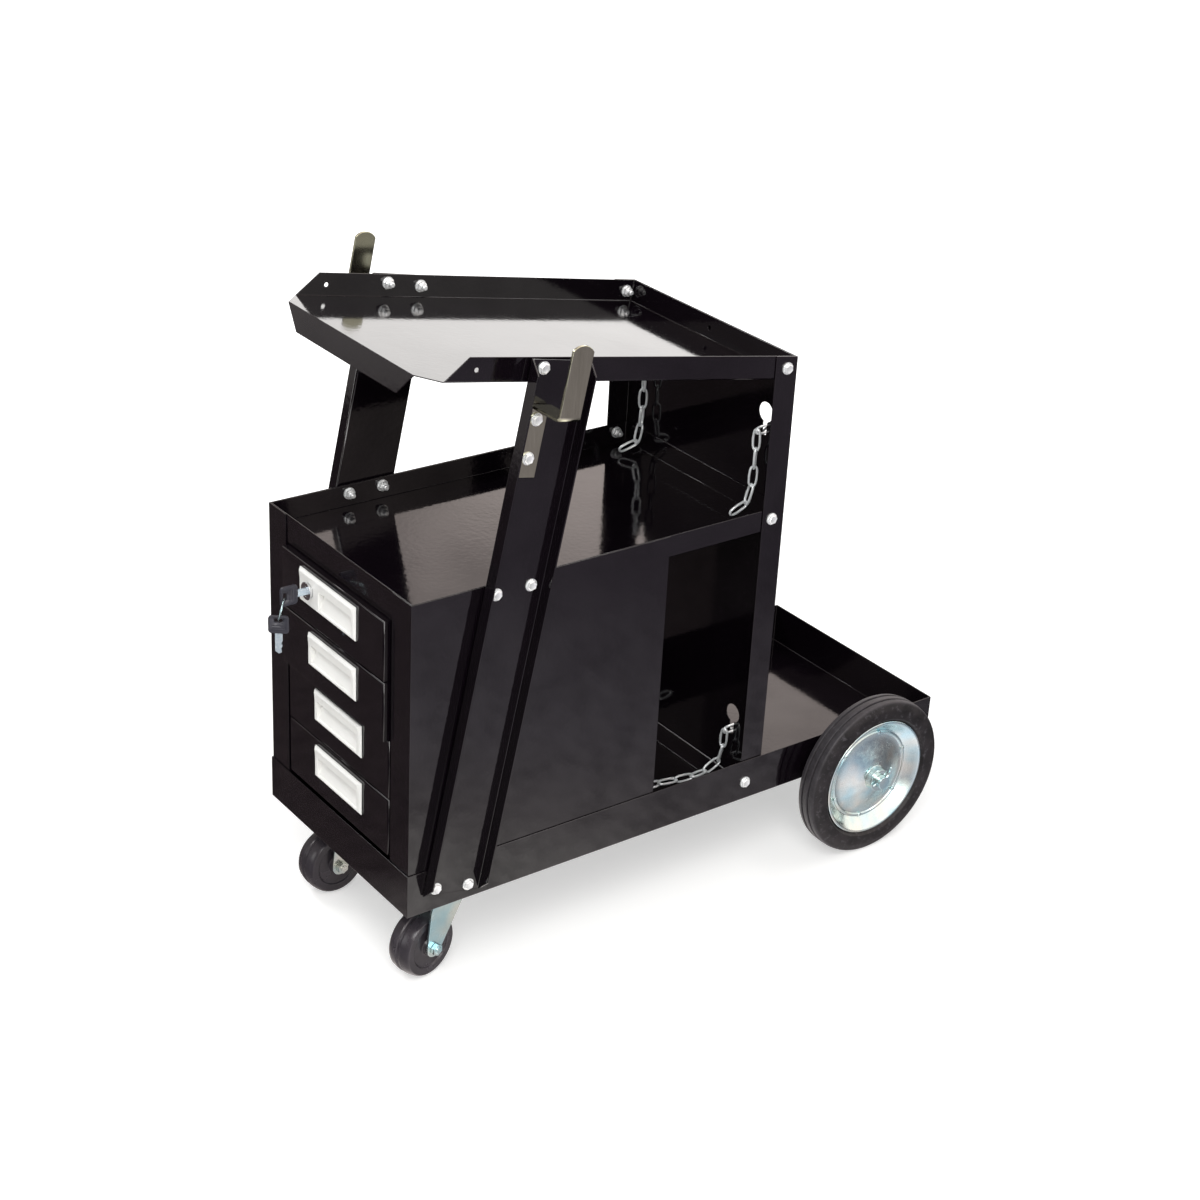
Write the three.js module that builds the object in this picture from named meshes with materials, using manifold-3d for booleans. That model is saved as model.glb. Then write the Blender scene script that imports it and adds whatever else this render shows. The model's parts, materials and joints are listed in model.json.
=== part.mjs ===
// Welding cart with four drawers, a sloping top tray and a bottle platform.
// Millimetres, +Z up, drawers face -Y, origin at the bottom centre of the overall box.
import * as THREE from 'three';
import { mergeVertices } from 'three/addons/utils/BufferGeometryUtils.js';
import Module from 'manifold-3d';

const wasm = await Module();
wasm.setup();

// Sheet metal
const sheet = 1.2;
const seam = 0.3;
const foldRadius = 1.8;

// Base tray
const trayWidth = 292;
const trayLength = 752;
const trayWall = 52;

// Cabinet and shelf
const cabinetDepth = 322.5;
const compartmentDepth = 158;
const stileWidth = 36.5;
const stileReturn = 25;
const shelfRise = 368;
const shelfWall = 26;
const shelfApron = 6.5;

// Rear panel and its keyholes
const panelRise = 542.5;
const panelFlange = 30;
const keyholeRadius = 11.5;
const keyholeSlot = 7;
const keyholeDrop = 27;
const upperKeyholeSpan = 204;
const upperKeyholeRise = 464.2;
const lowerKeyholeSpan = 180;
const lowerKeyholeRise = 81.3;

// Top tray
const topTilt = THREE.MathUtils.degToRad(10);
const topLength = 468;
const topWall = 26;
const topLip = 26;
const topLipHalf = 120;
const topLipTaper = 23;
const topWallStart = 21;
const topHole = 5;
const topHoleSetback = 56;

// Struts and cable hooks
const strutWidth = 73;
const strutFlange = 16;
const strutSheet = 2;
const strutBevel = 14;
const strutFoot = 53.7;
const strutFootRise = 16.3;
const strutHead = 152;
const hookBar = 3;
const hookWidth = 25;
const hookInset = 17;
const hookDrop = 121;
const hookStrip = 77;
const hookReach = 54;
const hookUpright = 78;
const hookBend = 3;
const hookCrown = 6;

// Drawers
const drawerCount = 4;
const drawerGap = 2;
const drawerReveal = 4;
const drawerDepth = 300;
const drawerWall = 50;
const drawerRise = 3;
const frontDepth = 10;
const runnerGap = 0.8;
const runnerLip = 9.5;
const rimWidth = 10;
const drawerAjar = [7, 7, 0, 0];

// Drawer pulls
const pullLength = 97;
const pullHeight = 39;
const pullProud = 5;
const pullOffset = 3;
const pullRaise = 8.5;
const pullCup = 7;
const pullRim = 2.5;
const pullLean = 1.8;
const pullSkin = 1.5;
const lockSection = 34;
const cupInset = 7;
const cupEdge = 5;

// Lock and keys
const lockInset = 21;
const lockRadius = 8.5;
const lockLength = 17;
const plugRadius = 6;
const camReach = 29;
const camWidth = 12;
const camSheet = 1.8;
const catchDrop = 13;
const catchWidth = 40;
const catchPlay = 3.3;
const keyHead = 20;
const keyHeadHeight = 22;
const keySheet = 2.4;
const keyBlade = 8;
const keyShank = 10;
const keyReach = 24;
const keyCut = 3;
const keyCorner = 3.6;
const keySlotWidth = 5;
const keySlotLength = 9;
const keySlotInset = 2.5;
const ringRadius = 12;
const ringWire = 1.4;
const ringPlay = 1.4;
const ringTurn = THREE.MathUtils.degToRad(-37);
const ringTilt = THREE.MathUtils.degToRad(18);

// Rear wheels and axle
const wheelDiameter = 200;
const wheelWidth = 32;
const wheelGap = 4.5;
const treadWidth = 24;
const treadGroove = 2.5;
const shoulder = 10;
const rimRadius = 70;
const rimLip = 4.2;
const rimSheet = 1.4;
const rimDish = 11.9;
const hubRadius = 14;
const hubLength = 39;
const axleDiameter = 16;
const axleDrop = 1.5;
const axleSetback = 115;
const axleEnd = 5.5;
const runningGap = 0.3;
const strapWidth = 26;
const strapSheet = 3;
const strapFoot = 16;
const strapInset = 31;
const pinWire = 3;
const pinPlay = 0.4;
const pinEye = 5;
const pinLeg = 12;
const pinTurn = THREE.MathUtils.degToRad(105);
const washerSheet = 2;
const washerRim = 6;

// Swivel casters
const casterDiameter = 75.6;
const casterWidth = 32;
const casterTrail = 28;
const casterInset = 52;
const casterSetback = 74;
const casterPlate = 64;
const casterSheet = 2.5;
const casterSpread = 4;
const raceHeight = 5;
const raceRadius = 21;
const kingPinRadius = 6;
const kingPinHead = 3.5;
const forkTail = 25;
const forkDrop = 16;
const forkToe = 12;
const forkEye = 10.5;
const casterHub = 10;
const casterWeb = 25;
const casterRecess = 3;
const casterRidge = 3;
const boltHead = 7;
const casterBolt = 8;
const rightCasterTurn = THREE.MathUtils.degToRad(14);
const leftCasterTurn = THREE.MathUtils.degToRad(3);

// Chains
const chainWire = 3.2;
const chainPitch = 21.5;
const chainWidth = 13;
const chainBite = 0.7;
const chainTwist = THREE.MathUtils.degToRad(20);
const upperSlack = 1.16;
const lowerSlack = 1.075;

// Levels and faces that follow from the driving dimensions
const trayBottom = wheelDiameter / 2 + axleDiameter / 2 + axleDrop;
const trayFloor = trayBottom + sheet;
const trayTop = trayBottom + trayWall;
const cabinetHalf = trayWidth / 2 - sheet - seam;
const cabinetFront = sheet + seam;
const cabinetBack = cabinetFront + cabinetDepth;
const cabinetBottom = trayFloor + seam;
const openingHalf = cabinetHalf - stileWidth;
const shelfTop = trayBottom + shelfRise;
const shelfBottom = shelfTop - shelfWall;
const shelfHalf = cabinetHalf - sheet - seam;
const shelfFront = cabinetFront + sheet + seam;
const panelBack = cabinetBack + compartmentDepth;
const panelFace = panelBack - sheet;
const panelTop = trayBottom + panelRise;
const topFrontY = panelFace - seam - topLength * Math.cos(topTilt) - topWall * Math.sin(topTilt);
const topFrontZ = panelTop + topLength * Math.sin(topTilt) - topWall * Math.cos(topTilt);

const cart = new THREE.Group();
cart.name = 'welding_cart';

const enamel = { color: 0x16130f, metalness: 0.2, roughness: 0.12 };
const zinc = { color: 0xc4c9cc, metalness: 0.9, roughness: 0.3 };
const ivory = { color: 0xefeee6, metalness: 0, roughness: 0.4 };
const tyreRubber = { color: 0x2b2729, metalness: 0, roughness: 0.8 };
const bareSteel = { color: 0x6f6d5e, metalness: 0.8, roughness: 0.4 };
const slate = { color: 0x3a3a44, metalness: 0, roughness: 0.45 };

function add(name, geometry, look) {
  const mesh = new THREE.Mesh(geometry, new THREE.MeshStandardMaterial(look));
  mesh.name = name;
  cart.add(mesh);
  return mesh;
}

function outline(points) {
  const shape = new THREE.Shape();
  points.forEach(([x, y], index) => (index ? shape.lineTo(x, y) : shape.moveTo(x, y)));
  shape.closePath();
  return shape;
}

function roundedOutline(x0, x1, y0, y1, radius) {
  const shape = new THREE.Shape();
  shape.absarc(x1 - radius, y0 + radius, radius, -Math.PI / 2, 0);
  shape.absarc(x1 - radius, y1 - radius, radius, 0, Math.PI / 2);
  shape.absarc(x0 + radius, y1 - radius, radius, Math.PI / 2, Math.PI);
  shape.absarc(x0 + radius, y0 + radius, radius, Math.PI, Math.PI * 1.5);
  shape.closePath();
  return shape;
}

function extrudeZ(shape, z0, z1, curveSegments = 3) {
  const geometry = new THREE.ExtrudeGeometry(shape, { depth: z1 - z0, bevelEnabled: false, curveSegments });
  return geometry.translate(0, 0, z0);
}

// A profile drawn in X and Z, run along Y
function extrudeY(shape, y0, y1, curveSegments = 3) {
  const geometry = extrudeZ(shape, 0, y1 - y0, curveSegments);
  const axes = [new THREE.Vector3(1, 0, 0), new THREE.Vector3(0, 0, 1), new THREE.Vector3(0, -1, 0)];
  geometry.applyMatrix4(new THREE.Matrix4().makeBasis(...axes));
  return geometry.translate(0, y1, 0);
}

// A profile drawn in Y and Z, run along X
function extrudeX(shape, x0, x1, curveSegments = 3) {
  const geometry = extrudeZ(shape, 0, x1 - x0, curveSegments);
  const axes = [new THREE.Vector3(0, 1, 0), new THREE.Vector3(0, 0, 1), new THREE.Vector3(1, 0, 0)];
  geometry.applyMatrix4(new THREE.Matrix4().makeBasis(...axes));
  return geometry.translate(x0, 0, 0);
}

function block(x0, x1, y0, y1, z0, z1) {
  const geometry = new THREE.BoxGeometry(x1 - x0, y1 - y0, z1 - z0);
  return geometry.translate((x0 + x1) / 2, (y0 + y1) / 2, (z0 + z1) / 2);
}

// A closed profile of [radius, height] points turned about Y
function turned(points, segments) {
  const profile = points.map(([radius, height]) => new THREE.Vector2(radius, height));
  return new THREE.LatheGeometry(profile, segments);
}

function turnedX(points, segments) {
  return turned(points, segments).rotateZ(-Math.PI / 2);
}

function turnedZ(points, segments) {
  return turned(points, segments).rotateX(Math.PI / 2);
}

function signedVolume(positions, index) {
  const corner = (k) => new THREE.Vector3().fromBufferAttribute(positions, index[k]);
  let volume = 0;
  for (let k = 0; k < index.length; k += 3) {
    volume += corner(k).dot(corner(k + 1).cross(corner(k + 2))) / 6;
  }
  return volume;
}

function facingOut(index, positions) {
  const list = Array.from(index);
  if (signedVolume(positions, list) < 0) {
    for (let k = 0; k < list.length; k += 3) {
      [list[k + 1], list[k + 2]] = [list[k + 2], list[k + 1]];
    }
  }
  return list;
}

function solid(geometry) {
  const bare = geometry.clone();
  bare.deleteAttribute('normal');
  bare.deleteAttribute('uv');
  const joined = mergeVertices(bare, 1e-4);
  const triangles = [];
  const raw = joined.index.array;
  for (let k = 0; k < raw.length; k += 3) {
    const [a, b, c] = [raw[k], raw[k + 1], raw[k + 2]];
    if (a !== b && b !== c && a !== c) {
      triangles.push(a, b, c);
    }
  }
  const triVerts = Uint32Array.from(facingOut(triangles, joined.attributes.position));
  const vertProperties = Float32Array.from(joined.attributes.position.array);
  return new wasm.Manifold(new wasm.Mesh({ numProp: 3, vertProperties, triVerts }));
}

function surface(manifold) {
  const mesh = manifold.getMesh();
  const geometry = new THREE.BufferGeometry();
  geometry.setAttribute('position', new THREE.BufferAttribute(Float32Array.from(mesh.vertProperties), 3));
  geometry.setIndex(Array.from(mesh.triVerts));
  geometry.computeVertexNormals();
  return geometry;
}

function join(...geometries) {
  return surface(wasm.Manifold.union(geometries.map(solid)));
}

function cut(geometry, ...tools) {
  return surface(wasm.Manifold.difference([solid(geometry), ...tools.map(solid)]));
}

function common(...geometries) {
  return surface(wasm.Manifold.intersection(geometries.map(solid)));
}

// The same piece on the left-hand side
function mirrored(geometry) {
  const copy = geometry.clone();
  copy.applyMatrix4(new THREE.Matrix4().makeScale(-1, 1, 1));
  const positions = copy.attributes.position;
  const index = copy.index ? copy.index.array : Array.from({ length: positions.count }, (_, k) => k);
  copy.setIndex(facingOut(index, positions));
  copy.computeVertexNormals();
  return copy;
}

function moved(geometry, x, y, z) {
  return geometry.clone().translate(x, y, z);
}

function pair(name, geometry, look, place = () => {}) {
  place(add(`right_${name}`, geometry, look));
  place(add(`left_${name}`, mirrored(geometry), look));
}

// Filled trough with rounded lower edges on all four sides, its corner of origin at y = 0
function trough(width, length, height, radius) {
  const section = (span) => {
    const half = span / 2;
    const shape = new THREE.Shape();
    shape.moveTo(-half, height);
    shape.lineTo(-half, radius);
    shape.absarc(-half + radius, radius, radius, Math.PI, Math.PI * 1.5);
    shape.absarc(half - radius, radius, radius, Math.PI * 1.5, Math.PI * 2);
    shape.lineTo(half, height);
    shape.closePath();
    return shape;
  };
  const across = extrudeY(section(width), 0, length);
  const along = extrudeX(section(length), -width / 2, width / 2).translate(0, length / 2, 0);
  return common(across, along);
}

function foldedTray(width, length, height) {
  const hollow = trough(width - 2 * sheet, length - 2 * sheet, height, foldRadius - sheet);
  return cut(trough(width, length, height, foldRadius), moved(hollow, 0, sheet, sheet));
}

// Base tray, standing on the axle straps and caster plates
add('base_tray', foldedTray(trayWidth, trayLength, trayWall).translate(0, 0, trayBottom), enamel);

// Cabinet: one plan profile of back, sides, stiles and returns, cut where the shelf tray nests in it
const cabinetPlan = outline([
  [-openingHalf, cabinetFront + stileReturn],
  [-openingHalf - sheet, cabinetFront + stileReturn],
  [-openingHalf - sheet, cabinetFront + sheet],
  [-cabinetHalf + sheet, cabinetFront + sheet],
  [-cabinetHalf + sheet, cabinetBack - sheet],
  [cabinetHalf - sheet, cabinetBack - sheet],
  [cabinetHalf - sheet, cabinetFront + sheet],
  [openingHalf + sheet, cabinetFront + sheet],
  [openingHalf + sheet, cabinetFront + stileReturn],
  [openingHalf, cabinetFront + stileReturn],
  [openingHalf, cabinetFront],
  [cabinetHalf, cabinetFront],
  [cabinetHalf, cabinetBack],
  [-cabinetHalf, cabinetBack],
  [-cabinetHalf, cabinetFront],
  [-openingHalf, cabinetFront],
]);
const nestHalf = cabinetHalf - sheet;
const nestBottom = shelfBottom - seam;
add(
  'cabinet_shell',
  cut(
    extrudeZ(cabinetPlan, cabinetBottom, shelfTop),
    block(-nestHalf, nestHalf, cabinetBack - 2 * sheet, cabinetBack + sheet, nestBottom, shelfTop + sheet),
    block(
      -nestHalf,
      nestHalf,
      cabinetFront + sheet,
      cabinetFront + 2 * stileReturn,
      nestBottom - shelfApron,
      shelfTop + sheet,
    ),
  ),
  enamel,
);

// Shelf tray: nests between the cabinet sides, its front wall running down as an apron
const shelfLength = panelFace - seam - shelfFront;
add(
  'shelf_tray',
  join(
    foldedTray(2 * shelfHalf, shelfLength, shelfWall),
    block(-shelfHalf, shelfHalf, 0, sheet, -shelfApron, foldRadius),
  ).translate(0, shelfFront, shelfBottom),
  enamel,
);

// Rear panel: flanged sheet with a foot, four keyholes and a top that follows the tray slope
const panelPlan = outline([
  [-cabinetHalf, panelBack - panelFlange],
  [-cabinetHalf + sheet, panelBack - panelFlange],
  [-cabinetHalf + sheet, panelFace],
  [cabinetHalf - sheet, panelFace],
  [cabinetHalf - sheet, panelBack - panelFlange],
  [cabinetHalf, panelBack - panelFlange],
  [cabinetHalf, panelBack],
  [-cabinetHalf, panelBack],
]);

function keyhole(x, z) {
  const round = turned(
    [
      [0, -3 * sheet],
      [keyholeRadius, -3 * sheet],
      [keyholeRadius, 3 * sheet],
      [0, 3 * sheet],
    ],
    18,
  );
  const half = keyholeSlot / 2;
  const shape = new THREE.Shape();
  shape.moveTo(half, 0);
  shape.lineTo(-half, 0);
  shape.absarc(0, -keyholeDrop + half, half, Math.PI, Math.PI * 2);
  shape.closePath();
  return join(round, extrudeY(shape, -3 * sheet, 3 * sheet, 6)).translate(x, panelFace + sheet / 2, z);
}

const keyholes = [
  keyhole(upperKeyholeSpan / 2, trayBottom + upperKeyholeRise),
  keyhole(-upperKeyholeSpan / 2, trayBottom + upperKeyholeRise),
  keyhole(lowerKeyholeSpan / 2, trayBottom + lowerKeyholeRise),
  keyhole(-lowerKeyholeSpan / 2, trayBottom + lowerKeyholeRise),
];
const panelCrown = panelFlange * Math.tan(topTilt);
const crownCut = outline([
  [panelBack + sheet, panelTop - sheet * Math.tan(topTilt)],
  [panelBack + sheet, panelTop + 2 * panelFlange],
  [panelBack - 2 * panelFlange, panelTop + 2 * panelFlange],
  [panelBack - 2 * panelFlange, panelTop + 2 * panelCrown],
]);
add(
  'rear_panel',
  cut(
    join(
      extrudeZ(panelPlan, cabinetBottom, panelTop + panelCrown + sheet),
      block(
        -cabinetHalf + sheet / 2,
        cabinetHalf - sheet / 2,
        panelBack - panelFlange,
        panelBack - sheet / 2,
        cabinetBottom,
        cabinetBottom + sheet,
      ),
    ),
    extrudeX(crownCut, -trayWidth, trayWidth),
    ...keyholes,
  ),
  enamel,
);

// Top tray: a folded tray opened at the front, its side walls bevelled and the front lip turned down
const topWidth = 2 * shelfHalf;
const topOver = 20;
const wallCut = outline([
  [-topOver - sheet, sheet],
  [topWallStart, sheet],
  [topWallStart + topWall, sheet + topWall],
  [-topOver - sheet, sheet + topWall],
]);
const cornerSlope = topWallStart / (shelfHalf - topLipHalf);
const cornerCut = outline([
  [topLipHalf, -2 * topOver],
  [trayWidth, -2 * topOver],
  [trayWidth, (trayWidth - topLipHalf) * cornerSlope],
  [topLipHalf, 0],
]);
const lipShape = outline([
  [-topLipHalf, sheet],
  [-topLipHalf, 0],
  [-topLipHalf + topLipTaper, -topLip + sheet],
  [topLipHalf - topLipTaper, -topLip + sheet],
  [topLipHalf, 0],
  [topLipHalf, sheet],
]);
const cornerTool = extrudeZ(cornerCut, -topLip, 2 * topWall);
const holeProfile = [
  [0, -trayWidth],
  [topHole / 2, -trayWidth],
  [topHole / 2, trayWidth],
  [0, trayWidth],
];
const sideHoles = turnedX(holeProfile, 10).translate(0, topHoleSetback, topWall / 2);
const rearHole = turned(holeProfile, 10).translate(0, topLength, topWall / 2);
const topTray = join(
  cut(
    foldedTray(topWidth, topLength + topOver, topWall).translate(0, -topOver, 0),
    extrudeX(wallCut, -trayWidth, trayWidth),
    block(-trayWidth, trayWidth, -2 * topOver, 0, -topWall, 2 * topWall),
    cornerTool,
    mirrored(cornerTool),
    sideHoles,
    rearHole,
  ),
  extrudeY(lipShape, 0, sheet),
);
const topTrayMesh = add('top_tray', topTray, enamel);
topTrayMesh.position.set(0, topFrontY, topFrontZ);
topTrayMesh.rotation.x = -topTilt;

// Struts: leaning channels from the base tray wall to the top tray wall
const strutHeadRise = topWall - sheet;
const footY = strutFoot;
const footZ = trayBottom + strutFootRise;
const headY = topFrontY + strutHead * Math.cos(topTilt) + strutHeadRise * Math.sin(topTilt);
const headZ = topFrontZ - strutHead * Math.sin(topTilt) + strutHeadRise * Math.cos(topTilt);
const strutLength = Math.hypot(headY - footY, headZ - footZ);
const strutLean = Math.atan2(headY - footY, headZ - footZ);
const strutInner = trayWidth / 2 + seam;
const strutHalf = strutWidth / 2;

function standOnStrut(mesh) {
  mesh.position.set(0, footY, footZ);
  mesh.rotation.x = -strutLean;
}

const strutPlan = new THREE.Shape();
strutPlan.moveTo(strutFlange, -strutHalf);
strutPlan.lineTo(strutFlange, -strutHalf + strutSheet);
strutPlan.lineTo(strutSheet, -strutHalf + strutSheet);
strutPlan.lineTo(strutSheet, strutHalf - strutSheet);
strutPlan.lineTo(strutFlange, strutHalf - strutSheet);
strutPlan.lineTo(strutFlange, strutHalf);
strutPlan.absarc(strutSheet, strutHalf - strutSheet, strutSheet, Math.PI / 2, Math.PI);
strutPlan.absarc(strutSheet, -strutHalf + strutSheet, strutSheet, Math.PI, Math.PI * 1.5);
strutPlan.closePath();
const bevelFoot = outline([
  [strutFlange - strutBevel, -1],
  [strutFlange + 1, -1],
  [strutFlange + 1, strutBevel],
]);
const bevelHead = outline([
  [strutFlange - strutBevel, strutLength + 1],
  [strutFlange + 1, strutLength - strutBevel],
  [strutFlange + 1, strutLength + 1],
]);
const strut = cut(
  extrudeZ(strutPlan, 0, strutLength),
  extrudeY(bevelFoot, -strutWidth, strutWidth),
  extrudeY(bevelHead, -strutWidth, strutWidth),
);
pair('strut', strut.translate(strutInner, 0, 0), enamel, standOnStrut);

// Cable hooks: flat bar bent twice, rounded at the top, bolted to the strut web
const hookOuter = hookBend + hookBar;
const hookTop = hookStrip - hookBar + hookUpright;
const hookSide = new THREE.Shape();
hookSide.moveTo(0, 0);
hookSide.lineTo(hookBar, 0);
hookSide.absarc(hookOuter, hookStrip - hookOuter, hookBend, Math.PI, Math.PI / 2, true);
hookSide.absarc(hookReach - hookOuter, hookStrip + hookBend, hookOuter, -Math.PI / 2, 0);
hookSide.lineTo(hookReach, hookTop);
hookSide.lineTo(hookReach - hookBar, hookTop);
hookSide.absarc(hookReach - hookOuter, hookStrip + hookBend, hookBend, 0, -Math.PI / 2, true);
hookSide.absarc(hookOuter, hookStrip - hookOuter, hookOuter, Math.PI / 2, Math.PI);
hookSide.closePath();
const crownRadius = (hookWidth ** 2 / 4 + hookCrown ** 2) / (2 * hookCrown);
const crownTurn = Math.asin(hookWidth / 2 / crownRadius);
const hookFace = new THREE.Shape();
hookFace.moveTo(-hookWidth / 2, -hookBar);
hookFace.lineTo(hookWidth / 2, -hookBar);
hookFace.absarc(0, hookTop - crownRadius, crownRadius, Math.PI / 2 - crownTurn, Math.PI / 2 + crownTurn);
hookFace.closePath();
const hook = common(
  extrudeY(hookSide, -hookWidth, hookWidth, 4),
  extrudeX(hookFace, -hookBar, hookReach + hookBar, 6),
);
const hookX = strutInner + strutSheet + seam;
pair(
  'cable_hook',
  hook.translate(hookX, hookInset - strutHalf, strutLength - hookDrop),
  bareSteel,
  standOnStrut,
);

// Drawer openings and runners
const drawersBottom = trayTop + sheet + drawerGap;
const drawersTop = shelfBottom - shelfApron - drawerGap / 2;
const drawerPitch = (drawersTop - drawersBottom + drawerGap) / drawerCount;
const frontHeight = drawerPitch - drawerGap;
const frontHalf = openingHalf - drawerReveal;
const runnerOuter = openingHalf - seam;
const runnerInner = runnerOuter - sheet;
const rimHalf = runnerInner - runnerGap;
const boxHalf = rimHalf - rimWidth;
const runnerFront = cabinetFront + frontDepth + drawerGap;
const runnerBack = cabinetBack - sheet - seam;
const boxFront = cabinetFront + sheet + seam;
const rimTop = drawerRise + drawerWall;
const lipLow = rimTop - sheet - seam;
const lipHigh = rimTop + runnerGap;
const runnerSection = outline([
  [runnerOuter, lipLow - sheet],
  [runnerOuter, lipHigh + sheet],
  [runnerInner - runnerLip, lipHigh + sheet],
  [runnerInner - runnerLip, lipHigh],
  [runnerInner, lipHigh],
  [runnerInner, lipLow],
  [runnerInner - runnerLip, lipLow],
  [runnerInner - runnerLip, lipLow - sheet],
]);
const runner = extrudeY(runnerSection, runnerFront, runnerBack);

// Drawer box: hat section with outward rims that ride in the runners, closed by a back wall
const boxSection = outline([
  [-boxHalf, drawerRise],
  [boxHalf, drawerRise],
  [boxHalf, rimTop - sheet],
  [rimHalf, rimTop - sheet],
  [rimHalf, rimTop],
  [boxHalf - sheet, rimTop],
  [boxHalf - sheet, drawerRise + sheet],
  [-boxHalf + sheet, drawerRise + sheet],
  [-boxHalf + sheet, rimTop],
  [-rimHalf, rimTop],
  [-rimHalf, rimTop - sheet],
  [-boxHalf, rimTop - sheet],
]);
const boxBack = boxFront + drawerDepth;
const boxWallHalf = boxHalf - sheet / 2;
const rimStart = block(boxHalf, rimHalf + 1, 0, runnerFront, rimTop - 2 * sheet, rimTop + sheet);
const drawerBox = cut(
  join(
    extrudeY(boxSection, boxFront, boxBack),
    block(-boxWallHalf, boxWallHalf, boxBack - sheet, boxBack, drawerRise + sheet / 2, rimTop),
  ),
  rimStart,
  mirrored(rimStart),
);

// Drawer front: shallow pan, pierced for the cup pull
function drawerFront(cupLeft, cupRight) {
  const pan = trough(2 * frontHalf, frontHeight, frontDepth, foldRadius);
  const inside = trough(2 * frontHalf - 2 * sheet, frontHeight - 2 * sheet, frontDepth, foldRadius - sheet);
  const shell = cut(pan, moved(inside, 0, sheet, sheet));
  const upright = shell.rotateX(-Math.PI / 2).translate(0, 0, frontHeight);
  const clear = pullSkin + seam;
  const low = pullCentre + cupFloor - clear;
  const high = pullCentre + cupRoof + clear;
  return cut(upright, block(cupLeft - clear, cupRight + clear, -frontDepth, frontDepth, low, high));
}

// Cup pull: bulged face with bevelled ends and a cup whose back slopes in under the lip
const pullCentre = frontHeight / 2 + pullRaise;
const cupLip = pullHeight / 6;
const cupRoof = cupLip + cupEdge;
const cupFloor = -pullHeight / 2 + cupEdge;

function cupPull(left, right, cupLeft, cupRight) {
  const half = pullHeight / 2;
  const face = outline([
    [-seam, -half],
    [-seam, half],
    [-pullRim, half],
    [-pullProud, half - pullRim],
    [-pullProud + pullLean, cupLip],
    [-pullProud + pullLean, -half + pullRim],
    [-pullRim / 2, -half],
  ]);
  const plan = outline([
    [left, -seam],
    [left, -pullRim / 2],
    [left + pullProud, -pullProud - sheet],
    [right - pullProud, -pullProud - sheet],
    [right, -pullRim / 2],
    [right, -seam],
  ]);
  const bezel = common(extrudeX(face, left, right), extrudeZ(plan, -half, half));
  const cup = outline([
    [-sheet, cupFloor - pullSkin],
    [pullSkin, cupFloor - pullSkin],
    [pullCup + pullSkin, cupRoof - pullSkin],
    [pullCup + pullSkin, cupRoof + pullSkin],
    [-sheet, cupRoof + pullSkin],
  ]);
  const hollow = outline([
    [-3 * pullProud, cupFloor - 2 * pullSkin],
    [-sheet, cupFloor],
    [pullCup, cupRoof - pullSkin],
    [pullCup, cupRoof],
    [0, cupRoof],
    [0, cupLip],
    [-3 * pullProud, cupLip],
  ]);
  return cut(
    join(bezel, extrudeX(cup, cupLeft - pullSkin, cupRight + pullSkin)),
    extrudeX(hollow, cupLeft, cupRight),
  );
}

const pullRight = pullOffset + pullLength / 2;
const pullLeft = pullRight - pullLength;
const lockLeft = pullLeft - lockSection / 2;
const lockX = lockLeft + lockInset;
const lockCupLeft = lockLeft + lockSection + cupInset;
const cylinderY = (radius, y0, y1, segments) =>
  turned(
    [
      [0, y0],
      [radius, y0],
      [radius, y1],
      [0, y1],
    ],
    segments,
  );
const lockBore = cylinderY(lockRadius + seam, -2 * frontDepth, 2 * frontDepth, 24);

const drawerBase = [];
for (let index = 0; index < drawerCount; index += 1) {
  const number = index + 1;
  const base = drawersBottom + (drawerCount - number) * drawerPitch;
  const ajar = drawerAjar[index];
  const locked = index === 0;
  const cupLeft = locked ? lockCupLeft : pullLeft + cupInset;
  const cupRight = pullRight - cupInset;
  const place = (geometry, y) => geometry.translate(0, y - ajar, base);
  drawerBase.push(base);
  add(`drawer_${number}_box`, place(drawerBox.clone(), 0), enamel);
  let front = drawerFront(cupLeft, cupRight);
  let pull = moved(cupPull(locked ? lockLeft : pullLeft, pullRight, cupLeft, cupRight), 0, 0, pullCentre);
  if (locked) {
    front = cut(front, moved(lockBore, lockX, 0, pullCentre));
    pull = cut(pull, moved(lockBore, lockX, 0, pullCentre));
  }
  add(`drawer_${number}_front`, place(front, cabinetFront), enamel);
  add(`drawer_${number}_pull`, place(pull, cabinetFront), ivory);
  add(`right_runner_${number}`, moved(runner, 0, 0, base), zinc);
  add(`left_runner_${number}`, mirrored(moved(runner, 0, 0, base)), zinc);
}

// Lock in the top drawer: housing, plug with its cam, and the catch under the shelf
const lockY = cabinetFront - drawerAjar[0];
const lockZ = drawerBase[0] + pullCentre;
const lockFace = -pullProud - seam - 1.5;
const atLock = (geometry) => geometry.translate(lockX, lockY, lockZ);
const housing = turned(
  [
    [plugRadius + seam, lockFace],
    [lockRadius + 1.5, lockFace],
    [lockRadius + 1.5, -pullProud - seam],
    [lockRadius, -pullProud - seam],
    [lockRadius, lockLength],
    [plugRadius + seam, lockLength],
    [plugRadius + seam, lockFace],
  ],
  20,
);
add('lock_housing', atLock(housing), zinc);
const camY = lockLength + seam;
const keywayHalf = keySheet / 2 + seam;
const bladeHalf = keyBlade / 2;
const camShape = roundedOutline(-camWidth / 2, camReach, -camWidth / 2, camWidth / 2, camWidth / 3);
const plug = cut(
  join(
    cylinderY(plugRadius, lockFace, camY + camSheet / 2, 20),
    extrudeY(camShape, camY, camY + camSheet),
  ),
  block(
    -keywayHalf,
    keywayHalf,
    lockFace - 1,
    lockLength - 2,
    -bladeHalf - seam,
    bladeHalf + seam,
  ),
);
add('lock_plug', atLock(plug), zinc);
const catchY = cabinetFront + camY - catchPlay - sheet;
const catchTop = shelfBottom - seam;
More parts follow.
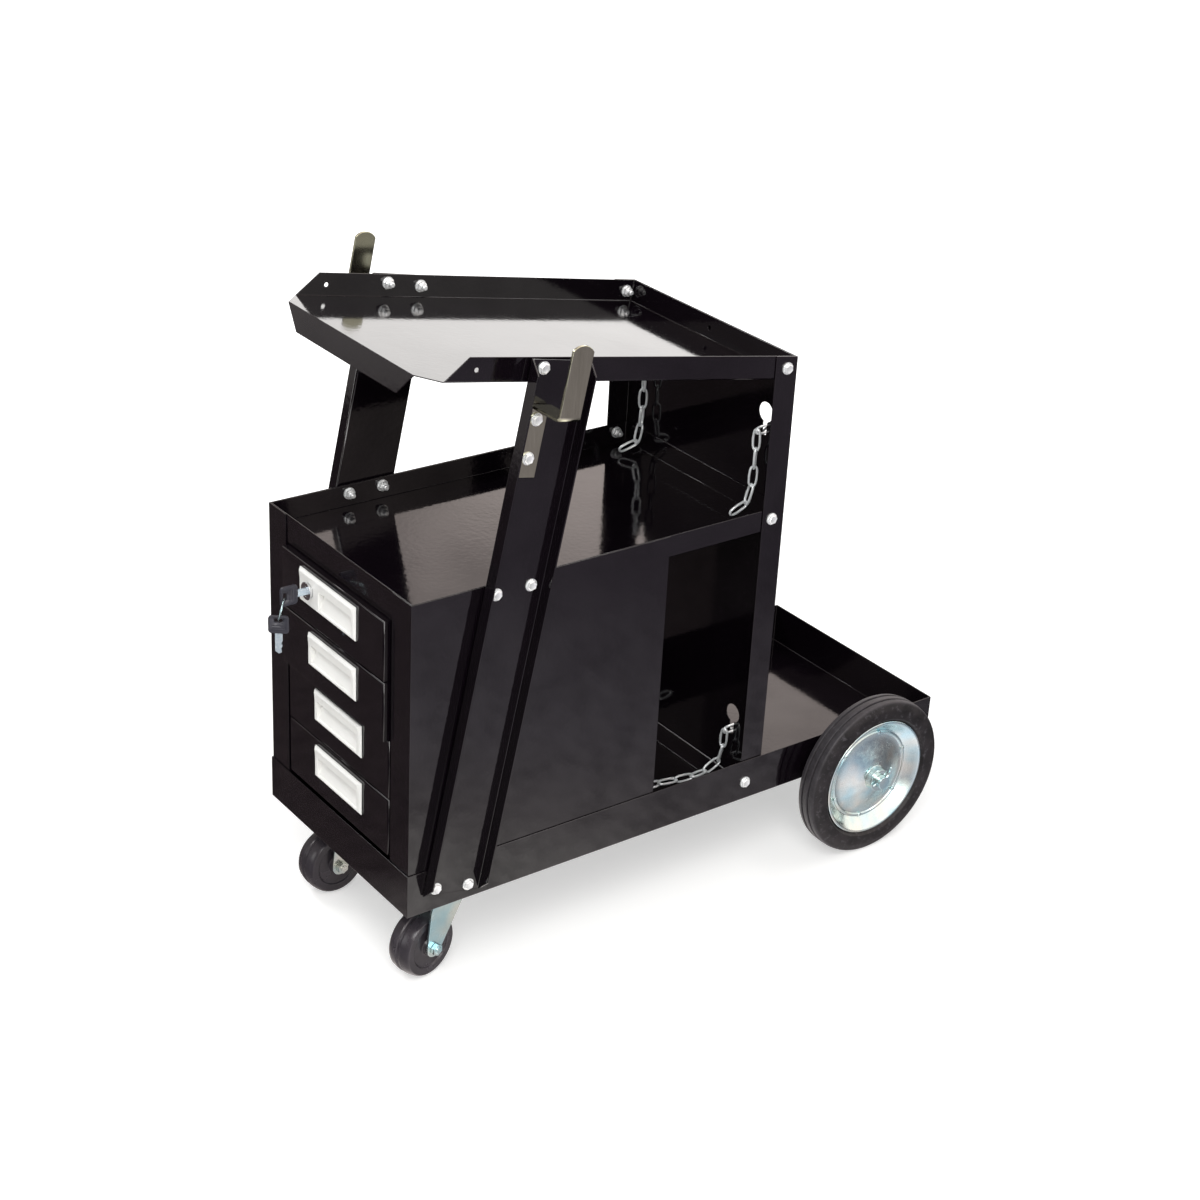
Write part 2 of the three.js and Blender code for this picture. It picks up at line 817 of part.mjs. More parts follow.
const catchSection = outline([
  [catchY, catchTop - catchDrop],
  [catchY + sheet, catchTop - catchDrop],
  [catchY + sheet, catchTop - sheet],
  [catchY + 2 * catchDrop, catchTop - sheet],
  [catchY + 2 * catchDrop, catchTop],
  [catchY, catchTop],
]);
add('lock_catch', extrudeX(catchSection, lockX - catchWidth / 2, lockX + catchWidth / 2), zinc);

// Keys: drawn in Y and Z, the blade pointing to +Y from a shouldered head
function keySolid() {
  const headHalf = keyHeadHeight / 2;
  const head = roundedOutline(-keyHead, 0, -headHalf, headHalf, keyCorner);
  const slotX = -keyHead + keySlotInset;
  head.holes.push(
    roundedOutline(slotX, slotX + keySlotWidth, -keySlotLength / 2, keySlotLength / 2, keySlotWidth / 3),
  );
  const blade = outline([
    [-keyCut, -bladeHalf],
    [keyReach - keyCut, -bladeHalf],
    [keyReach, 0],
    [keyReach - keyCut / 2, bladeHalf - keyCut / 3],
    [keyReach - 2 * keyCut, bladeHalf - keyCut / 2],
    [keyReach - 3 * keyCut, bladeHalf],
    [keyReach - 4 * keyCut, bladeHalf - keyCut / 2],
    [keyReach - 5 * keyCut, bladeHalf],
    [-keyCut, bladeHalf],
  ]);
  const headHalfSheet = keySheet / 2 + seam;
  return join(
    extrudeX(head, -headHalfSheet, headHalfSheet, 3),
    extrudeX(blade, -keySheet / 2, keySheet / 2),
  );
}

const keyY = lockY + lockFace - keyShank;
add('lock_key', keySolid().translate(lockX, keyY, lockZ), slate);
const slotMiddle = -keyHead + keySlotInset + keySlotWidth / 2;
const ringY = keyY + slotMiddle;
const ringTop = lockZ - keySlotLength / 2 + ringPlay + ringWire / 2;
const ring = new THREE.TorusGeometry(ringRadius, ringWire / 2, 6, 22).rotateX(Math.PI / 2);
ring.rotateZ(ringTurn).translate(0, 0, -ringRadius).rotateX(-ringTilt);
add('key_ring', surface(solid(ring)).translate(lockX, ringY, ringTop), zinc);
const spareY = ringY - 2 * ringRadius * Math.sin(ringTilt);
const spareWire = ringTop - 2 * ringRadius * Math.cos(ringTilt);
const spareTop = spareWire + ringWire / 2 + ringPlay - keyHead + keySlotInset;
const spare = keySolid().rotateX(-Math.PI / 2).rotateZ(ringTurn);
add('spare_key', spare.translate(lockX, spareY, spareTop), slate);

// Rear axle in two straps under the base tray
const axleY = trayLength - axleSetback;
const axleZ = wheelDiameter / 2;
const axleRadius = axleDiameter / 2;
const wheelMiddle = trayWidth / 2 + wheelGap + wheelWidth / 2;
const hubEnd = wheelMiddle + hubLength / 2;
const pinX = hubEnd + runningGap + washerSheet + runningGap + pinWire / 2 + pinPlay;
const axleHalf = pinX + axleEnd;
const cylinderX = (radius, x0, x1, segments) => cylinderY(radius, x0, x1, segments).rotateZ(-Math.PI / 2);
const pinHole = turnedZ(
  [
    [0, -axleDiameter],
    [pinWire / 2 + pinPlay, -axleDiameter],
    [pinWire / 2 + pinPlay, axleDiameter],
    [0, axleDiameter],
  ],
  12,
);
const axle = cut(
  cylinderX(axleRadius, -axleHalf, axleHalf, 18),
  moved(pinHole, pinX, 0, 0),
  moved(pinHole, -pinX, 0, 0),
).rotateX(pinTurn);
add('axle', axle.translate(0, axleY, axleZ), zinc);
const strapTop = trayBottom - seam - axleZ;
const strapInnerRadius = axleRadius + runningGap;
const strapRadius = strapInnerRadius + strapSheet;
const strapSection = new THREE.Shape();
strapSection.moveTo(-strapRadius - strapFoot, strapTop);
strapSection.lineTo(-strapRadius - strapFoot, strapTop - strapSheet);
strapSection.lineTo(-strapRadius, strapTop - strapSheet);
strapSection.absarc(0, 0, strapRadius, Math.PI, Math.PI * 2);
strapSection.lineTo(strapRadius, strapTop - strapSheet);
strapSection.lineTo(strapRadius + strapFoot, strapTop - strapSheet);
strapSection.lineTo(strapRadius + strapFoot, strapTop);
strapSection.lineTo(strapInnerRadius, strapTop);
strapSection.absarc(0, 0, strapInnerRadius, 0, -Math.PI, true);
strapSection.lineTo(-strapInnerRadius, strapTop);
strapSection.closePath();
const strapOuter = trayWidth / 2 - strapInset;
const strap = extrudeX(strapSection, strapOuter - strapWidth, strapOuter, 10);
pair('axle_bracket', surface(solid(strap)).translate(0, axleY, axleZ), enamel);

// Rear wheels: ribbed tyre on a dished rim, with washer and split pin at the axle end
const wheelRadius = wheelDiameter / 2;
const wheelFacets = 28;
const tyreBore = rimRadius + seam;
const beadHalf = wheelWidth / 2 - rimLip;
const treadHalf = treadWidth / 2;
const rib = treadHalf * 0.42;
const tyre = turnedX(
  [
    [tyreBore, -beadHalf],
    [tyreBore, beadHalf],
    [tyreBore + rimLip, beadHalf],
    [tyreBore + 2 * rimLip, wheelWidth / 2],
    [wheelRadius - shoulder, wheelWidth / 2],
    [wheelRadius - treadGroove / 2, treadHalf],
    [wheelRadius, rib + treadGroove / 2],
    [wheelRadius - treadGroove, rib + treadGroove / 3],
    [wheelRadius - treadGroove, rib - treadGroove / 3],
    [wheelRadius, rib - treadGroove / 2],
    [wheelRadius, -rib + treadGroove / 2],
    [wheelRadius - treadGroove, -rib + treadGroove / 3],
    [wheelRadius - treadGroove, -rib - treadGroove / 3],
    [wheelRadius, -rib - treadGroove / 2],
    [wheelRadius - treadGroove / 2, -treadHalf],
    [wheelRadius - shoulder, -wheelWidth / 2],
    [tyreBore + 2 * rimLip, -wheelWidth / 2],
    [tyreBore + rimLip, -beadHalf],
    [tyreBore, -beadHalf],
  ],
  wheelFacets,
);
const rimFace = beadHalf + seam + rimSheet;
const hubHalf = hubLength / 2;
const rimSide = [
  [rimRadius, beadHalf + seam],
  [rimRadius + rimLip - seam, beadHalf + seam],
  [rimRadius + rimLip - seam, rimFace],
  [rimRadius + sheet, rimFace],
  [rimRadius * 0.85, rimFace - 0.85 * rimDish],
  [rimRadius * 0.81, rimFace - rimDish],
  [rimRadius * 0.74, rimFace - rimDish],
  [rimRadius * 0.55, rimFace - 0.75 * rimDish],
  [rimRadius * 0.37, rimFace - 0.4 * rimDish],
  [hubRadius + rimSheet, rimFace - 0.15 * rimDish],
  [hubRadius, rimFace + rimSheet],
  [hubRadius - rimSheet, hubHalf],
];
const rim = turnedX(
  [
    ...rimSide,
    [axleRadius + runningGap, hubHalf],
    [axleRadius + runningGap, -hubHalf],
    [hubRadius - rimSheet, -hubHalf],
    [hubRadius, -rimFace - rimSheet],
    [rimRadius * 0.37, -rimFace + 0.4 * rimDish],
    [rimRadius * 0.77, -rimFace + rimDish],
    [rimRadius + sheet, -rimFace],
    [rimRadius + rimLip - seam, -rimFace],
    [rimRadius + rimLip - seam, -beadHalf - seam],
    [rimRadius, -beadHalf - seam],
    rimSide[0],
  ],
  wheelFacets,
);
pair('tyre', surface(solid(tyre)).translate(wheelMiddle, axleY, axleZ), tyreRubber);
pair('rim', surface(solid(rim)).translate(wheelMiddle, axleY, axleZ), zinc);
const washer = turnedX(
  [
    [axleRadius + runningGap, 0],
    [axleRadius + washerRim, 0],
    [axleRadius + washerRim, washerSheet],
    [axleRadius + runningGap, washerSheet],
    [axleRadius + runningGap, 0],
  ],
  18,
);
pair('axle_washer', surface(solid(washer)).translate(hubEnd + runningGap, axleY, axleZ), zinc);
const pinPath = new THREE.CatmullRomCurve3([
  new THREE.Vector3(0, pinPlay, axleRadius + pinEye),
  new THREE.Vector3(0, 0, axleRadius + pinPlay),
  new THREE.Vector3(0, 0, 0),
  new THREE.Vector3(0, 0, -axleRadius - pinPlay),
  new THREE.Vector3(pinPlay, pinLeg / 3, -axleRadius - pinLeg / 2),
  new THREE.Vector3(2 * pinPlay, pinLeg, -axleRadius - 0.75 * pinLeg),
]);
const pinSection = new THREE.Shape();
pinSection.absarc(0, 0, pinWire / 2, 0, Math.PI * 2);
const splitPin = new THREE.ExtrudeGeometry(pinSection, {
  steps: 10,
  extrudePath: pinPath,
  bevelEnabled: false,
  curveSegments: 3,
});
pair('split_pin', surface(solid(splitPin)).rotateX(pinTurn).translate(pinX, axleY, axleZ), zinc);

// Swivel casters: plate with race and king pin, trailing fork, wheel and axle bolt
const plateTop = trayBottom - seam;
const plateHalf = casterPlate / 2;
const raceTop = plateTop - casterSheet;
const forkTop = raceTop - raceHeight - runningGap;
const forkRoof = forkTop - casterSheet;
const casterRadius = casterDiameter / 2;
const forkInner = casterWidth / 2 + casterSpread / 2;
const forkOuter = forkInner + casterSheet;
const boltRadius = casterBolt / 2;
const mount = join(
  extrudeZ(roundedOutline(-plateHalf, plateHalf, -plateHalf, plateHalf, 6), raceTop, plateTop),
  turnedZ(
    [
      [0, raceTop + casterSheet / 2],
      [raceRadius, raceTop + casterSheet / 2],
      [raceRadius, raceTop],
      [raceRadius - casterSheet, raceTop - raceHeight],
      [kingPinRadius, raceTop - raceHeight],
      [kingPinRadius, forkRoof - runningGap],
      [kingPinRadius + kingPinHead, forkRoof - runningGap],
      [kingPinRadius + kingPinHead / 2, forkRoof - runningGap - kingPinHead],
      [0, forkRoof - runningGap - kingPinHead],
    ],
    20,
  ),
);
const forkSide = new THREE.Shape();
forkSide.moveTo(raceRadius, forkTop);
forkSide.lineTo(-forkTail, forkTop);
forkSide.lineTo(-casterTrail - forkEye / 2, forkTop - forkDrop);
forkSide.lineTo(-casterTrail - forkEye, casterRadius + forkEye / 2);
forkSide.absarc(-casterTrail, casterRadius, forkEye, Math.PI, Math.PI * 1.9);
forkSide.lineTo(raceRadius, forkTop - forkToe);
forkSide.closePath();
const boltHole = cylinderX(boltRadius + seam, -2 * forkOuter, 2 * forkOuter, 12);
const kingHole = turnedZ(
  [
    [0, 0],
    [kingPinRadius + seam, 0],
    [kingPinRadius + seam, 2 * plateTop],
    [0, 2 * plateTop],
  ],
  20,
);
const fork = cut(
  extrudeX(forkSide, -forkOuter, forkOuter, 8),
  block(-forkInner, forkInner, -2 * casterTrail, 2 * casterTrail, 0, forkRoof),
  moved(boltHole, 0, -casterTrail, casterRadius),
  kingHole,
);
const casterHalf = casterWidth / 2;
const casterSide = [
  [boltRadius + seam, casterHalf],
  [casterHub, casterHalf],
  [casterHub + casterRecess / 2, casterHalf - casterRecess],
  [casterWeb, casterHalf - casterRecess],
  [casterWeb + casterRecess / 2, casterHalf - casterRecess / 4],
  [casterRadius - casterRecess, casterHalf - casterRecess / 4],
  [casterRadius, casterRidge],
  [casterRadius - 0.5 * casterRidge, 0.5 * casterRidge],
];
const casterWheel = turnedX(
  [...casterSide, ...casterSide.map(([radius, x]) => [radius, -x]).reverse(), casterSide[0]],
  24,
);
const casterAxle = join(
  cylinderX(boltRadius, -forkOuter - boltHead, forkOuter + boltHead, 12),
  cylinderX(boltHead, forkOuter + seam, forkOuter + 0.8 * boltHead, 6),
  cylinderX(boltHead, -forkOuter - 0.8 * boltHead, -forkOuter - seam, 6),
);

for (const [side, sign, turn] of [
  ['right', 1, rightCasterTurn],
  ['left', -1, leftCasterTurn],
]) {
  const pieces = [
    ['mount', mount, zinc, 0],
    ['fork', fork, zinc, turn],
    ['wheel', moved(surface(solid(casterWheel)), 0, -casterTrail, casterRadius), tyreRubber, turn],
    ['axle', moved(casterAxle, 0, -casterTrail, casterRadius), zinc, turn],
  ];
  for (const [name, geometry, look, angle] of pieces) {
    const mesh = add(`${side}_caster_${name}`, geometry.clone(), look);
    mesh.position.set(sign * (trayWidth / 2 - casterInset), casterSetback, 0);
    mesh.rotation.z = angle;
  }
}

// Chains: stadium links, each turned a quarter against the next, hooked edgewise in the keyhole slots
function chainLink() {
  const radius = (chainWidth - chainWire) / 2;
  const link = new THREE.TorusGeometry(radius, chainWire / 2, 6, 8).rotateZ(Math.PI / 8);
  const reach = (chainPitch - chainBite + chainWire) / 2 - radius * Math.cos(Math.PI / 8);
  const positions = link.attributes.position;
  for (let k = 0; k < positions.count; k += 1) {
    positions.setX(k, positions.getX(k) + Math.sign(positions.getX(k)) * reach);
  }
  return link;
}

// Points one pitch apart along a smooth line through the given stations
function stepAlong(stations, count) {
  const curve = new THREE.CatmullRomCurve3(stations.map((p) => new THREE.Vector3(...p)));
  const samples = curve.getSpacedPoints(2000);
  const points = [samples[0]];
  for (const sample of samples) {
    if (points.length <= count && sample.distanceTo(points[points.length - 1]) >= chainPitch) {
      points.push(sample);
    }
  }
  return points;
}

// Equal chords hanging in an arc between two points at the same height
function hangingRun(span, y, z, count) {
  let low = 1e-4;
  let high = Math.PI / count;
  for (let step = 0; step < 60; step += 1) {
    const middle = (low + high) / 2;
    const reach = (chainPitch * Math.sin((count * middle) / 2)) / Math.sin(middle / 2);
    if (reach > span) {
      low = middle;
    } else {
      high = middle;
    }
  }
  const points = [new THREE.Vector3(span / 2, y, z)];
  for (let k = 0; k < count; k += 1) {
    const dip = low * ((count - 1) / 2 - k);
    const last = points[points.length - 1];
    const step = new THREE.Vector3(-Math.cos(dip), 0, -Math.sin(dip));
    points.push(last.clone().addScaledVector(step, chainPitch));
  }
  return points;
}

// An odd count, so that the links at both slots stand edgewise
function linksAcross(span, slack) {
  return 2 * Math.round(((span * slack) / chainPitch - 1) / 2) + 1;
}

function chain(span, slack, keyholeZ, rightStations, leftStations, rightCount, leftCount) {
  const slotZ = keyholeZ - keyholeDrop + seam + chainWidth / 2;
  const middleY = panelFace + sheet / 2;
  const front = middleY - chainPitch / 2;
  const start = (sign) => [sign * (span / 2), front, slotZ];
  const right = stepAlong([start(1), ...rightStations], rightCount).reverse();
  const left = stepAlong([start(-1), ...leftStations], leftCount);
  const run = hangingRun(span, front + chainPitch, slotZ, linksAcross(span, slack));
  const points = [...right, ...run, ...left];
  const tangents = points.slice(1).map((p, k) => p.clone().sub(points[k]).normalize());
  const slotIndex = right.length - 1;
  const otherSlot = slotIndex + run.length;
  const normals = [];
  normals[slotIndex] = new THREE.Vector3(1, 0, 0);
  const carry = (from, to) => {
    const bend = new THREE.Quaternion().setFromUnitVectors(tangents[from], tangents[to]);
    return normals[from].clone().applyQuaternion(bend);
  };
  for (let k = slotIndex + 1; k < tangents.length; k += 1) {
    normals[k] = carry(k - 1, k);
  }
  for (let k = slotIndex - 1; k >= 0; k -= 1) {
    normals[k] = carry(k + 1, k);
  }
  const link = chainLink();
  const links = tangents.map((tangent, k) => {
    const beyond = Math.max(0, slotIndex - k, k - otherSlot);
    const twist = Math.min(Math.PI / 2, beyond * chainTwist);
    const normal = normals[k].clone();
    if ((k - slotIndex) % 2 !== 0) {
      normal.cross(tangent);
    }
    normal.applyAxisAngle(tangent, twist);
    const side = normal.clone().cross(tangent);
    const matrix = new THREE.Matrix4().makeBasis(tangent, side, normal);
    matrix.setPosition(points[k].clone().add(points[k + 1]).multiplyScalar(0.5));
    return link.clone().applyMatrix4(matrix);
  });
  return join(...links);
}

const tailY = panelFace + sheet / 2 - chainPitch / 2;
const lieHeight = chainWidth / 2 + seam;
const shelfLie = shelfBottom + sheet + lieHeight;
const trayLie = cabinetBottom + sheet + lieHeight;
const upperHalf = upperKeyholeSpan / 2;
const lowerHalf = lowerKeyholeSpan / 2;
const step = chainPitch;
add(
  'upper_chain',
  chain(
    upperKeyholeSpan,
    upperSlack,
    trayBottom + upperKeyholeRise,
    [
      [upperHalf, tailY, shelfLie + 2.8 * step],
      [upperHalf, tailY - 0.1 * step, shelfLie + 1.1 * step],
      [upperHalf - 0.1 * step, tailY - 0.5 * step, shelfLie + 0.1 * step],
      [upperHalf - 0.1 * step, tailY - 1.4 * step, shelfLie],
      [upperHalf + 0.3 * step, tailY - 2.8 * step, shelfLie],
    ],
    [
      [-upperHalf, tailY, shelfLie + 2.8 * step],
      [-upperHalf, tailY - 0.1 * step, shelfLie + 1.1 * step],
      [-upperHalf - 0.1 * step, tailY - 0.4 * step, shelfLie + 0.1 * step],
      [-upperHalf - 0.3 * step, tailY - 1.2 * step, shelfLie],
      [-upperHalf - 0.4 * step, tailY - 2.8 * step, shelfLie],
    ],
    5,
    5,
  ),
  zinc,
);
add(
  'lower_chain',
  chain(
    lowerKeyholeSpan,
    lowerSlack,
    trayBottom + lowerKeyholeRise,
    [
      [lowerHalf - 0.1 * step, tailY, trayLie + 1.2 * step],
      [lowerHalf - 0.3 * step, tailY - 0.1 * step, trayLie + 0.3 * step],
      [lowerHalf - 0.3 * step, tailY - 0.8 * step, trayLie],
      [lowerHalf - 0.2 * step, tailY - 2.1 * step, trayLie],
      [lowerHalf - 0.5 * step, tailY - 3.5 * step, trayLie],
      [lowerHalf - 0.8 * step, tailY - 6 * step, trayLie],
    ],
    [
      [-lowerHalf + 0.1 * step, tailY, trayLie + 1.2 * step],
      [-lowerHalf + 0.2 * step, tailY - 0.1 * step, trayLie + 0.3 * step],
      [-lowerHalf + 0.2 * step, tailY - 0.9 * step, trayLie],
      [-lowerHalf - 0.1 * step, tailY - 2.3 * step, trayLie],
      [-lowerHalf - 0.4 * step, tailY - 4.2 * step, trayLie],
    ],
    7,
    4,
  ),
  zinc,
);

// Origin at the bottom centre of the overall box
cart.updateMatrixWorld(true);
const overall = new THREE.Box3().setFromObject(cart, true);
cart.position.y = -(overall.min.y + overall.max.y) / 2;
cart.updateMatrixWorld(true);

export default cart;
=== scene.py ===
import json
from math import cos, pi, radians, sin

import bmesh
import bpy
from mathutils import Matrix, Vector

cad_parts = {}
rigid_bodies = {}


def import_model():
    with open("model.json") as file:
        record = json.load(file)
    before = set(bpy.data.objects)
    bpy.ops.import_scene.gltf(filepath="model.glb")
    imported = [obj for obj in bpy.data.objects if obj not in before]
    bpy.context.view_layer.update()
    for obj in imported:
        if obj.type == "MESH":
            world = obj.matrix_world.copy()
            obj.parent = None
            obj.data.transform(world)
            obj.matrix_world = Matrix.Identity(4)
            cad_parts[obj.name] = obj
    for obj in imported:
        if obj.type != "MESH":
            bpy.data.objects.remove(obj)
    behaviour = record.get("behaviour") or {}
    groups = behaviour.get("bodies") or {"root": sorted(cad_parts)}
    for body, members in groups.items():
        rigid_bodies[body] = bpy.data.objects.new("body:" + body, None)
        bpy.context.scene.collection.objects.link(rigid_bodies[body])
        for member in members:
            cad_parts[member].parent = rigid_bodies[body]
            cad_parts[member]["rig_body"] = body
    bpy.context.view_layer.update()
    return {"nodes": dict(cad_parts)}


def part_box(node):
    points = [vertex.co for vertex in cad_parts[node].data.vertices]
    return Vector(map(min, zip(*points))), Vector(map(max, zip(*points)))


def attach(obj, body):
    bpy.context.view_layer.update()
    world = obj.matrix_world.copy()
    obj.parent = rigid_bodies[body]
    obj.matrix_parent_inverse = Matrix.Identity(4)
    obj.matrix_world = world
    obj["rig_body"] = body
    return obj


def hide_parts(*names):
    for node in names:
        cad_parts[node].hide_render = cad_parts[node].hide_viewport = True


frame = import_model()


# Camera: a standing view from the right front, looking down on the cart.
# Its place is measured from the front wall of the base tray, with a slight roll as in the picture.
mm = 0.001
tray_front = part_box("base_tray")[0].y
camera_data = bpy.data.cameras.new("camera")
camera_data.sensor_width = 36
camera_data.sensor_fit = "HORIZONTAL"
camera_data.lens = 67.327
camera = bpy.data.objects.new("camera", camera_data)
bpy.context.scene.collection.objects.link(camera)
bpy.context.scene.camera = camera
turn, rise, roll = radians(52.45), radians(26.43), radians(3.11)
back = Vector((sin(turn) * cos(rise), -cos(turn) * cos(rise), sin(rise)))
level = Vector((cos(turn), sin(turn), 0))
upright = back.cross(level)
right = cos(roll) * level + sin(roll) * upright
up = cos(roll) * upright - sin(roll) * level
camera.matrix_world = Matrix.Translation((1.8142, tray_front - 1.0494, 1.4722)) @ Matrix(
    (right, up, back)
).transposed().to_4x4()


# Studio: a pale floor under a white surround, with a large key lamp, four smaller ones and a rear window.
# The eye sees white; gloss enamel and bright metal mirror a lit back wall and a floor that glows with a
# painted reflection, darker in front.
def linear(hex_colour):
    """An sRGB colour such as "#efeee6" as linear RGBA."""
    parts = [int(hex_colour[k : k + 2], 16) / 255 for k in (1, 3, 5)]
    return (*[p / 12.92 if p <= 0.04045 else ((p + 0.055) / 1.055) ** 2.4 for p in parts], 1)


def put(tree, kind, inputs=None, **settings):
    """Add a node with its settings, and set or link its inputs."""
    made = tree.nodes.new(kind)
    for name, value in settings.items():
        setattr(made, name, value)
    for name, value in (inputs or {}).items():
        if isinstance(value, bpy.types.NodeSocket):
            tree.links.new(value, made.inputs[name])
        else:
            made.inputs[name].default_value = value
    return made


bpy.context.scene.view_settings.view_transform = "Standard"

world = bpy.data.worlds.new("white surround")
bpy.context.scene.world = world
world.use_nodes = True
tree = world.node_tree
tree.nodes.clear()
path = put(tree, "ShaderNodeLightPath")
heading = put(tree, "ShaderNodeTexCoord")
facing = put(
    tree,
    "ShaderNodeVectorMath",
    {0: heading.outputs["Generated"], 1: (0.5, 1, 0)},
    operation="DOT_PRODUCT",
)
wall = put(
    tree,
    "ShaderNodeMapRange",
    {"Value": facing.outputs["Value"], "From Min": -0.5, "From Max": 0.3, "To Min": 0.3, "To Max": 1.35},
    interpolation_type="SMOOTHSTEP",
)
# The wall is lit unevenly above eye height, which marbles what level sheets mirror.
clouds = put(
    tree,
    "ShaderNodeTexNoise",
    {"Vector": heading.outputs["Generated"], "Scale": 13.0, "Detail": 5.0, "Distortion": 0.8},
)
bright = put(
    tree,
    "ShaderNodeMapRange",
    {"Value": clouds.outputs["Fac"], "From Min": 0.35, "From Max": 0.65, "To Min": 0.8, "To Max": 1.5},
)
rise = put(tree, "ShaderNodeSeparateXYZ", {0: heading.outputs["Generated"]})
high = put(
    tree, "ShaderNodeMapRange", {"Value": rise.outputs["Z"], "From Min": 0.3, "From Max": 0.36}
)
uneven = put(tree, "ShaderNodeMix", {"Factor": high.outputs[0], "A": 1.0, "B": bright.outputs[0]})
marbled = put(
    tree, "ShaderNodeMath", {0: wall.outputs[0], 1: uneven.outputs[0]}, operation="MULTIPLY"
)
mirrors = put(
    tree,
    "ShaderNodeMath",
    {0: path.outputs["Is Glossy Ray"], 1: path.outputs["Is Transmission Ray"]},
    operation="MAXIMUM",
)
mirrored = put(tree, "ShaderNodeMix", {"Factor": mirrors.outputs[0], "A": 0.42, "B": marbled.outputs[0]})
strength = put(
    tree, "ShaderNodeMix", {"Factor": path.outputs["Is Camera Ray"], "A": mirrored.outputs[0], "B": 1.0}
)
warmth = put(
    tree,
    "ShaderNodeMix",
    {"Factor": high.outputs[0], "A": linear("#fffaf5"), "B": linear("#fff0ea")},
    data_type="RGBA",
)
colour = put(
    tree,
    "ShaderNodeMix",
    {"Factor": mirrors.outputs[0], "A": linear("#ffffff"), "B": warmth.outputs["Result"]},
    data_type="RGBA",
)
surround = put(
    tree, "ShaderNodeBackground", {"Color": colour.outputs["Result"], "Strength": strength.outputs[0]}
)
put(tree, "ShaderNodeOutputWorld", {"Surface": surround.outputs[0]})

reach = 14
floor_mesh = bpy.data.meshes.new("floor")
floor_corners = [(-reach, -reach, 0), (reach, -reach, 0), (reach, reach, 0), (-reach, reach, 0)]
floor_mesh.from_pydata(floor_corners, [], [(0, 1, 2, 3)])
floor = bpy.data.objects.new("floor", floor_mesh)
bpy.context.scene.collection.objects.link(floor)

paper = bpy.data.materials.new("white paper sweep, matt")
paper.use_nodes = True
tree = paper.node_tree
tree.nodes.clear()
# Close to the cart the sheet keeps its shadow; further off it is plain white.
path = put(tree, "ShaderNodeLightPath")
place = put(tree, "ShaderNodeNewGeometry")
apart = put(tree, "ShaderNodeVectorMath", {0: place.outputs["Position"]}, operation="LENGTH")
lift = put(
    tree,
    "ShaderNodeMapRange",
    {"Value": apart.outputs["Value"], "From Min": 0.35, "From Max": 1.5, "To Min": 0.44, "To Max": 1.0},
    interpolation_type="SMOOTHSTEP",
)
lit = put(tree, "ShaderNodeBsdfDiffuse", {"Color": linear("#e9e8e6")})
glow = put(tree, "ShaderNodeEmission", {"Color": linear("#ffffff"), "Strength": lift.outputs[0]})
shown = put(tree, "ShaderNodeAddShader", {0: lit.outputs[0], 1: glow.outputs[0]})
plain = put(
    tree, "ShaderNodeMixShader", {0: path.outputs["Is Camera Ray"], 1: lit.outputs[0], 2: shown.outputs[0]}
)
# What the enamel mirrors: for glossy rays the floor glows with a painted reflection of a speckled workshop
# floor, with painted shade in front of the cart and a painted pool of light behind it.
along = put(
    tree, "ShaderNodeVectorMath", {0: place.outputs["Position"], 1: (0.8, 0.6, 0)}, operation="DOT_PRODUCT"
)
pool = put(tree, "ShaderNodeMapRange", {"Value": along.outputs["Value"], "From Min": -5.0, "From Max": 2.0})
ramp = put(tree, "ShaderNodeValToRGB", {"Fac": pool.outputs[0]})
stops = (
    (0.13, "#bcb6b4"),
    (0.19, "#4a4444"),
    (0.571, "#4d4545"),
    (0.664, "#4f4747"),
    (0.693, "#c2bab8"),
    (0.714, "#fbf5f2"),
    (0.739, "#fffaf6"),
    (0.757, "#d0c9ca"),
    (0.786, "#c0bac1"),
    (0.857, "#918a94"),
    (1.0, "#8d8690"),
)
while len(ramp.color_ramp.elements) < len(stops):
    ramp.color_ramp.elements.new(0.5)
for element, (position, colour) in zip(ramp.color_ramp.elements, stops):
    element.position = position
    element.color = linear(colour)
speckle_width = 22 * mm
speckle = put(
    tree,
    "ShaderNodeTexNoise",
    {"Vector": place.outputs["Position"], "Scale": 1 / speckle_width, "Detail": 3.0},
)
# The speckle mottles only the painted reflection, not the paper the eye sees.
reflection_mottle = put(
    tree,
    "ShaderNodeMapRange",
    {"Value": speckle.outputs["Fac"], "From Min": 0.3, "From Max": 0.7, "To Min": 0.75, "To Max": 1.25},
)
# The painted reflection is brighter seen across the cart than along it; this painted light shades curved
# metal.
sight = put(tree, "ShaderNodeSeparateXYZ", {0: place.outputs["Incoming"]})
lengthwise = put(tree, "ShaderNodeMath", {0: sight.outputs["Y"]}, operation="ABSOLUTE")
painted_side_brightness = put(
    tree, "ShaderNodeMapRange", {"Value": lengthwise.outputs[0], "To Min": 2.15, "To Max": 0.05}
)
level = put(
    tree, "ShaderNodeMath", {0: reflection_mottle.outputs[0], 1: painted_side_brightness.outputs[0]}, operation="MULTIPLY"
)
# This glow seen in reflections is painted light, not a lamp.
painted_floor_reflection = put(
    tree, "ShaderNodeEmission", {"Color": ramp.outputs["Color"], "Strength": level.outputs[0]}
)
mirrors = put(
    tree,
    "ShaderNodeMath",
    {0: path.outputs["Is Glossy Ray"], 1: path.outputs["Is Transmission Ray"]},
    operation="MAXIMUM",
)
whole = put(
    tree, "ShaderNodeMixShader", {0: mirrors.outputs[0], 1: plain.outputs[0], 2: painted_floor_reflection.outputs[0]}
)
put(tree, "ShaderNodeOutputMaterial", {"Surface": whole.outputs[0]})
floor_mesh.materials.append(paper)

